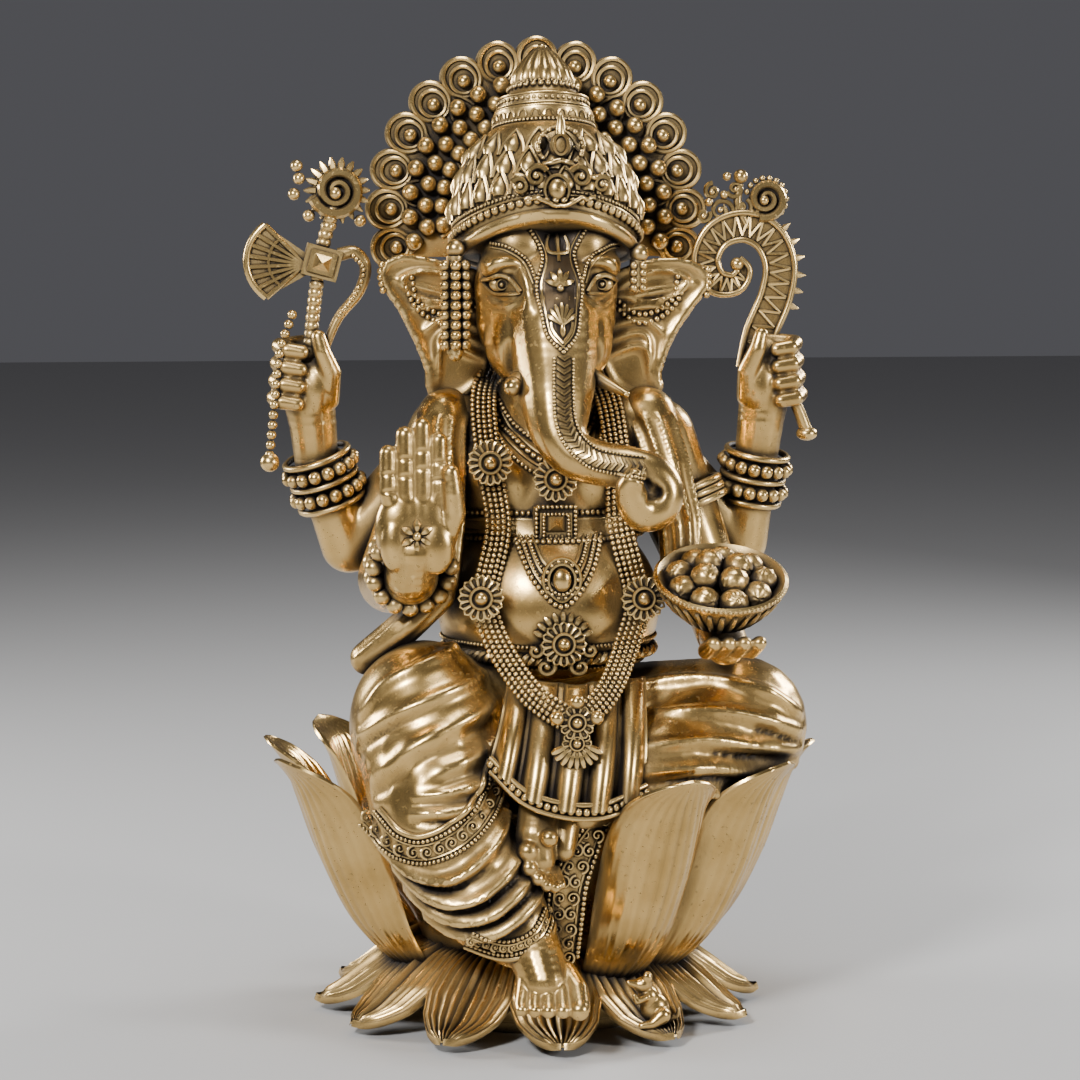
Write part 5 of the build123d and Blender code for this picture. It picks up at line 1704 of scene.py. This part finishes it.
# ---------------------------------------------------------------- held things
@dataclass
class Held:
    """What the hands carry: axe, noose and bowl of sweets."""

    bowl_centre: tuple = (43.5, -49.0, 67.0)
    bowl_radius: float = 17.5
    bowl_tilt: float = 24.0

    def build(self) -> None:
        """Makes the axe, the noose, the bowl and its sweets."""
        self.axe()
        self.noose()
        self.bowl()
        self.sweets()

    def axe(self) -> None:
        """Beaded shaft, square hub, ribbed fan blade, hook, shell and bead string."""
        trim = Metal()
        shaft = flow(points((-63, -6, 126), (-60, -6, 150), (-56.5, -6, 164)), 60)
        trim.tube(shaft, 1.5, 10)
        for spot in spaced(shaft, 2.3):
            trim.ball(spot, 2.05)
        hub = at(-59.5, -6, 150)
        lean = np.array(Euler((0, math.radians(15), 0)).to_matrix())
        for half, depth in ((4.9, 3.6), (3.6, 4.6)):
            box = np.array([(x, y, z) for x in (-half, half) for y in (-depth, depth)
                            for z in (-half * 0.86, half * 0.86)])
            faces = [(0, 1, 3, 2), (4, 6, 7, 5), (0, 4, 5, 1), (2, 3, 7, 6), (0, 2, 6, 4), (1, 5, 7, 3)]
            trim.add(box @ lean.T + hub, faces)
        tip = np.array([(-2.4, -4.5, -2.2), (2.4, -4.5, -2.2), (2.4, -4.5, 2.2), (-2.4, -4.5, 2.2),
                        (0, -6.6, 0)])
        trim.add(tip @ lean.T + hub, PYRAMID)
        root = np.array([-62.5, 149.5])
        arc = np.radians(np.linspace(133, 228, 15))
        sweep = np.stack([np.cos(arc), np.sin(arc)], axis=1) * [1, 0.84]
        edge = root + np.array([-1.5, 1.0]) + 15.8 * sweep
        trim.plate(np.vstack([root + [0, -2.2], root + [0, 2.2], edge]), -7.6, -4.4)
        border = np.array([(x, -7.8, SEAT + z) for x, z in edge])
        trim.tube(border, 1.0, 8)
        for spot in border[::2]:
            trim.tube(np.array([(root[0] - 1.5, -7.8, SEAT + root[1]), spot]), np.array([0.55, 0.8]), 6)
        inner = np.array([(x, -8.0, SEAT + z) for x, z in root + (edge - root) * 0.66])
        trim.tube(inner, 0.5, 6)
        trim.tube(flow(points((-55, -6, 152), (-50.5, -6, 152.6), (-47.6, -6, 148.6), (-49.4, -6, 142),
                              (-55, -6, 135),
                              (-58.6, -6, 127)), 50), np.linspace(1.9, 1.2, 50), 10)
        for spot in flow(points((-51, -7.6, 151.8), (-48.2, -7.6, 148), (-50.4, -7.4, 141.6),
                                (-55, -7.4, 135.6)), 13):
            trim.ball(spot, 0.7)
        eye = at(-55.2, -5.6, 169.4)
        trim.tube(np.array([eye + (0, 1.8, 0), eye - (0, 0.6, 0)]), 6.4, 32)
        trim.scroll(eye - (0, 1.6, 0), 200, 2.1, 6.8, 1.5, 1)
        for turn in range(18):
            angle = AROUND * turn / 18
            way = facing(angle)
            trim.tube(eye + np.outer([5.8, 7.6, 9.0], way), np.array([1.3, 0.9, 0.2]), 6)
        for x, z in ((-65.4, 172.6), (-66.8, 168.4), (-66, 176), (-49, 161.2), (-62.8, 162.6), (-57, 160)):
            trim.ball(at(x, -6, z), 1.7)
        trim.beads(flow(points((-67.6, -8.6, 136), (-71, -9, 126), (-72.6, -9.4, 112), (-74, -8.4, 98)),
                        60), 1.35)
        trim.ball(at(-74, -8.4, 96), 2.6, fine=True)
        place_piece(trim.raw("axe_form"), "axe")

    def noose(self) -> None:
        """A question-mark scroll with a toothed pattern, spikes, curls and a shell."""
        trim = Metal()
        path = flow(points((59.6, -2, 120), (61.6, -2, 130), (65.6, -2, 140), (66.8, -2, 149),
                           (63.4, -2, 156.4),
                           (56.6, -2, 159.4), (49.4, -2, 157), (46.2, -2, 150.4), (48.8, -2, 144.4),
                           (54, -2, 143.6),
                           (56.6, -2, 147), (54.6, -2, 150)), 140)
        ahead = unit(np.gradient(path, axis=0))
        side = np.stack([-ahead[:, 2], 0 * ahead[:, 0], ahead[:, 0]], axis=1)
        half = np.interp(np.linspace(0, 1, 140), [0, 0.35, 0.75, 1], [4.2, 4.0, 3.0, 1.2])[:, None]
        sheet(trim, path + side * half, path - side * half, 7, 3.6)
        for hand in (-1, 1):
            trim.tube(path + side * half * hand - (0, 0.4, 0), 0.85, 8)
        for index in range(4, 124, 5):
            low, high = index, index + 5
            for start, end in ((path[low] + side[low] * half[low] * 0.7,
                                path[low + 2] - side[low + 2] * half[low] * 0.7),
                               (path[low + 2] - side[low + 2] * half[low] * 0.7,
                                path[high] + side[high] * half[low] * 0.7)):
                trim.tube(np.array([start, end]) - (0, 0.2, 0), 0.5, 5)
        for index in range(24, 70, 5):
            root = path[index] - side[index] * half[index]
            trim.tube(np.array([root, root - side[index] * 1.6, root - side[index] * 3.2]),
                      np.array([1.1, 0.8, 0.15]), 6)
        trim.ball(at(54.8, -2.4, 149), 1.9, fine=True)
        shell = at(62.8, -2, 166.9)
        trim.tube(np.array([shell + (0, 2, 0), shell]), 4.4, 24)
        trim.scroll(shell - (0, 0.8, 0), 250, 1.9, 5.4, 1.2, 1)
        for turn in range(11):
            angle = math.radians(-40 + 20 * turn)
            trim.ball(shell + (5.6 * math.cos(angle), 0, 5.6 * math.sin(angle)), 0.9)
        for x, z, reach, start, hand in ((50.5, 163.6, 3.2, 0, 1), (56.2, 164.4, 2.8, 60, -1),
                                         (48, 169.0, 2.2, 90, 1),
                                         (45.6, 162.4, 2.0, 30, -1), (54.2, 169.6, 2.4, 200, 1)):
            trim.scroll(at(x, -2, z), start, 1.4, reach, 0.75, hand)
        trim.tube(flow(points((58, -1.4, 159), (55.2, -1.4, 165), (55.6, -1.4, 171)), 12), 1.2, 8)
        trim.ball(at(55.8, -2, 173.0), 2.0, fine=True)
        for x, z in ((51.2, 168), (47, 166), (59, 163), (52, 173)):
            trim.ball(at(x, -2, z), 1.25)
        place_piece(trim.raw("noose_form"), "noose")
        tail = Metal()
        tail.tube(flow(points((66.5, -8, 117), (71, -6, 110.4), (74, -5, 103.4)), 16),
                  np.linspace(1.4, 1.8, 16), 10)
        tail.ball(at(74.2, -5, 102.4), (3.0, 3.0, 2.0), fine=True)
        place_piece(tail.raw("noose_end"), "noose_tail")

    def bowl(self) -> None:
        """The fluted bowl, open to the front."""
        bowl = Metal()
        rim = self.bowl_radius
        bowl.lathe(xz((0, -13), (5, -13), (6.2, -11.8), (10.4, -8.4), (14, -4.4), (16.6, -0.8),
                      (rim, 0.4), (rim + 0.3, 1.3),
                      (rim - 0.6, 1.8), (15.2, 0.2), (12.4, -3.6), (8, -7.6), (0, -9)), 96)
        for turn in range(30):
            angle = AROUND * turn / 30
            way = np.array([math.cos(angle), math.sin(angle), 0])
            path = np.array([way * r + (0, 0, z) for r,
                             z in ((6.4, -11.9), (10.4, -8.8), (14, -4.8), (16.4, -1.6))])
            bowl.tube(path, np.array([0.5, 0.8, 0.95, 0.6]), 6)
        Crown.bead_ring(bowl, rim - 0.1, 0.9, 0.6)
        bowl.moved(0, self.bowl_tilt, tuple(at(*self.bowl_centre)))
        place_piece(bowl.raw("bowl_form"), "bowl")

    def sweets(self) -> None:
        """The heaped sweets, each pitted all over."""
        verts, faces = globe(30, 20)
        wave = (np.sin(verts[:, 0] * 15 + 1.3) * np.sin(verts[:, 1] * 14 + 0.4)
                * np.sin(verts[:, 2] * 16 + 2.1)
                + 0.6 * np.sin(verts[:, 0] * 23) * np.sin(verts[:, 1] * 25 + 1) * np.sin(verts[:, 2] * 21))
        pitted = verts * (1 + 0.08 * wave)[:, None]
        heap = Metal()
        spots = [(11.2, AROUND * k / 9, -0.4) for k in range(9)] + [(5.4, AROUND * k / 4 + 0.5, 2.6)
                                                                    for k in range(4)]
        for index, (reach, angle, height) in enumerate(spots):
            turn = np.array(Euler((index * 1.7, index * 0.9, index * 2.3)).to_matrix())
            heap.add(pitted @ turn.T * 4.0 + (reach * math.cos(angle), reach * math.sin(angle), height),
                     faces)
        heap.moved(0, self.bowl_tilt, tuple(at(*self.bowl_centre)))
        place_piece(heap.raw("sweets_form"), "sweets")


@dataclass
class Mouse:
    """The small mouse that sits up on a lower petal."""

    seat: tuple = (25.0, -49.6, -52.2)
    scale: float = 0.85

    def place(self, *spot: float) -> tuple:
        """A spot of the mouse, and its radius if given, in the figure's frame."""
        where = np.array(self.seat) + self.scale * np.array(spot[:3])
        return (*where, *(self.scale * radius for radius in spot[3:]))

    def build(self) -> None:
        """Makes the mouse."""
        clay = Clay()
        for spot, size in (((1.5, 0.6, 5.2), (4.6, 4.0, 5.2)), ((-0.6, 0, 9), (3.4, 3.1, 3.8)),
                           ((-2.6, -0.6, 13.2), (3.0, 2.6, 2.5)), ((-1.2, -2.2, 15.6), (1.5, 0.8, 1.7)),
                           ((-0.6, 1.2, 15.4), (1.5, 0.8, 1.7))):
            clay.mass(at(*self.place(*spot)), tuple(self.scale * reach for reach in size), (0, -15, 0))
        snout = ((-3.6, -0.9, 13.2, 1.9), (-7.2, -1.6, 14.2, 0.8))
        arm = ((-2, -2.8, 9.4, 1.2), (-4.6, -3.8, 8.6, 1.1), (-5.4, -3.6, 10.4, 0.8))
        haunch = ((3.4, -2.6, 3.6, 2.8), (0.2, -4.2, 1.4, 1.5), (-3.4, -4.6, 1.0, 1.0))
        tail = ((5.8, 0.4, 1.8, 1.2), (8.4, -0.6, 3.0, 0.8), (8.8, -2.2, 5.4, 0.6))
        for run in (snout, arm, haunch, tail):
            clay.limb(*(self.place(*row) for row in run))
        place_piece(clay.skin("mouse_form", 0.3, 3), "mouse")


# ---------------------------------------------------------------- scene
LAMPS = (("key", (-430, -760, 640), 170, 13.0),
         ("fill", (760, -560, 330), 150, 5.5),
         ("top", (60, -120, 980), 300, 3.5),
         ("rim_left", (-640, 300, 330), 220, 5.0),
         ("rim_right", (600, 400, 420), 220, 6.0))


@dataclass
class Studio:
    """A pale floor, soft lights and the camera."""

    target: tuple = (0.6, 0.0, 131.0)
    distance: float = 966.0
    azimuth: float = -6.0
    elevation: float = 6.4
    lens: float = 116.4
    floor_half: float = 3000.0
    floor_colour: tuple = (0.44, 0.435, 0.43, 1)
    sky_colour: tuple = (0.42, 0.42, 0.46, 1)
    sky_strength: float = 0.20

    def build(self) -> None:
        """Sets the floor, world, lights and camera."""
        half = self.floor_half
        corners = np.array([(-half, -half, 0), (half, -half, 0), (half, half, 0), (-half, half, 0)])
        floor = raw_object("floor", corners, [(0, 1, 2, 3)])
        made = Shader("pale_floor")
        surface = made.node("ShaderNodeBsdfPrincipled", None,
                            {"Base Color": self.floor_colour, "Roughness": 0.7})
        floor.data.materials.append(made.finish(surface))
        world = bpy.data.worlds.new("studio")
        bpy.context.scene.world = world
        world.use_nodes = True
        sky = world.node_tree.nodes["Background"]
        sky.inputs["Color"].default_value = self.sky_colour
        sky.inputs["Strength"].default_value = self.sky_strength
        for name, place, size, power in LAMPS:
            self.light(name, place, size, power)
        self.camera()

    def light(self, name: str, place: tuple, size: float, power: float) -> None:
        """Adds a soft square lamp that faces the figure.

        Args:
            name: Its name.
            place: Where it stands, in millimetres.
            size: Its side.
            power: Its power in watts.
        """
        lamp = bpy.data.lights.new(name, "AREA")
        lamp.size = size * MM
        lamp.energy = power
        thing = bpy.data.objects.new(name, lamp)
        thing.location = Vector(place) * MM
        thing.rotation_euler = (Vector(self.target) - Vector(place)).to_track_quat("-Z", "Y").to_euler()
        bpy.context.scene.collection.objects.link(thing)

    def camera(self) -> None:
        """Adds the camera and makes it the scene's own."""
        turn, rise = math.radians(self.azimuth), math.radians(self.elevation)
        back = Vector((math.sin(turn) * math.cos(rise), -math.cos(turn) * math.cos(rise), math.sin(rise)))
        seen = bpy.data.cameras.new("camera")
        seen.lens = self.lens
        seen.sensor_width = 36
        thing = bpy.data.objects.new("camera", seen)
        thing.location = (Vector(self.target) + back * self.distance) * MM
        thing.rotation_euler = (-back).to_track_quat("-Z", "Y").to_euler()
        bpy.context.scene.collection.objects.link(thing)
        bpy.context.scene.camera = thing


def main() -> None:
    """Builds the studio and the figure, and gives the frame's other parts a finish."""
    logging.basicConfig(level=logging.INFO, format="%(name)s %(message)s")
    Studio().build()
    Lotus().build()
    forms = Body().build()
    head = Head().build()
    Crown().build()
    Halo().build()
    Face().build(Skin(head))
    Arms().build()
    body = Skin(forms["torso"], forms["hips"])
    Jewels().build(body)
    Cloth().build(Skin(forms["right_leg"], forms["left_leg"]))
    Held().build()
    Mouse().build()
    finishes = {finish.value.name for finish in Finish}
    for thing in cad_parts.values():
        if not thing.data.materials or thing.data.materials[0].name not in finishes:
            dress(thing, Finish.ANTIQUE)


if __name__ == "__main__":
    main()
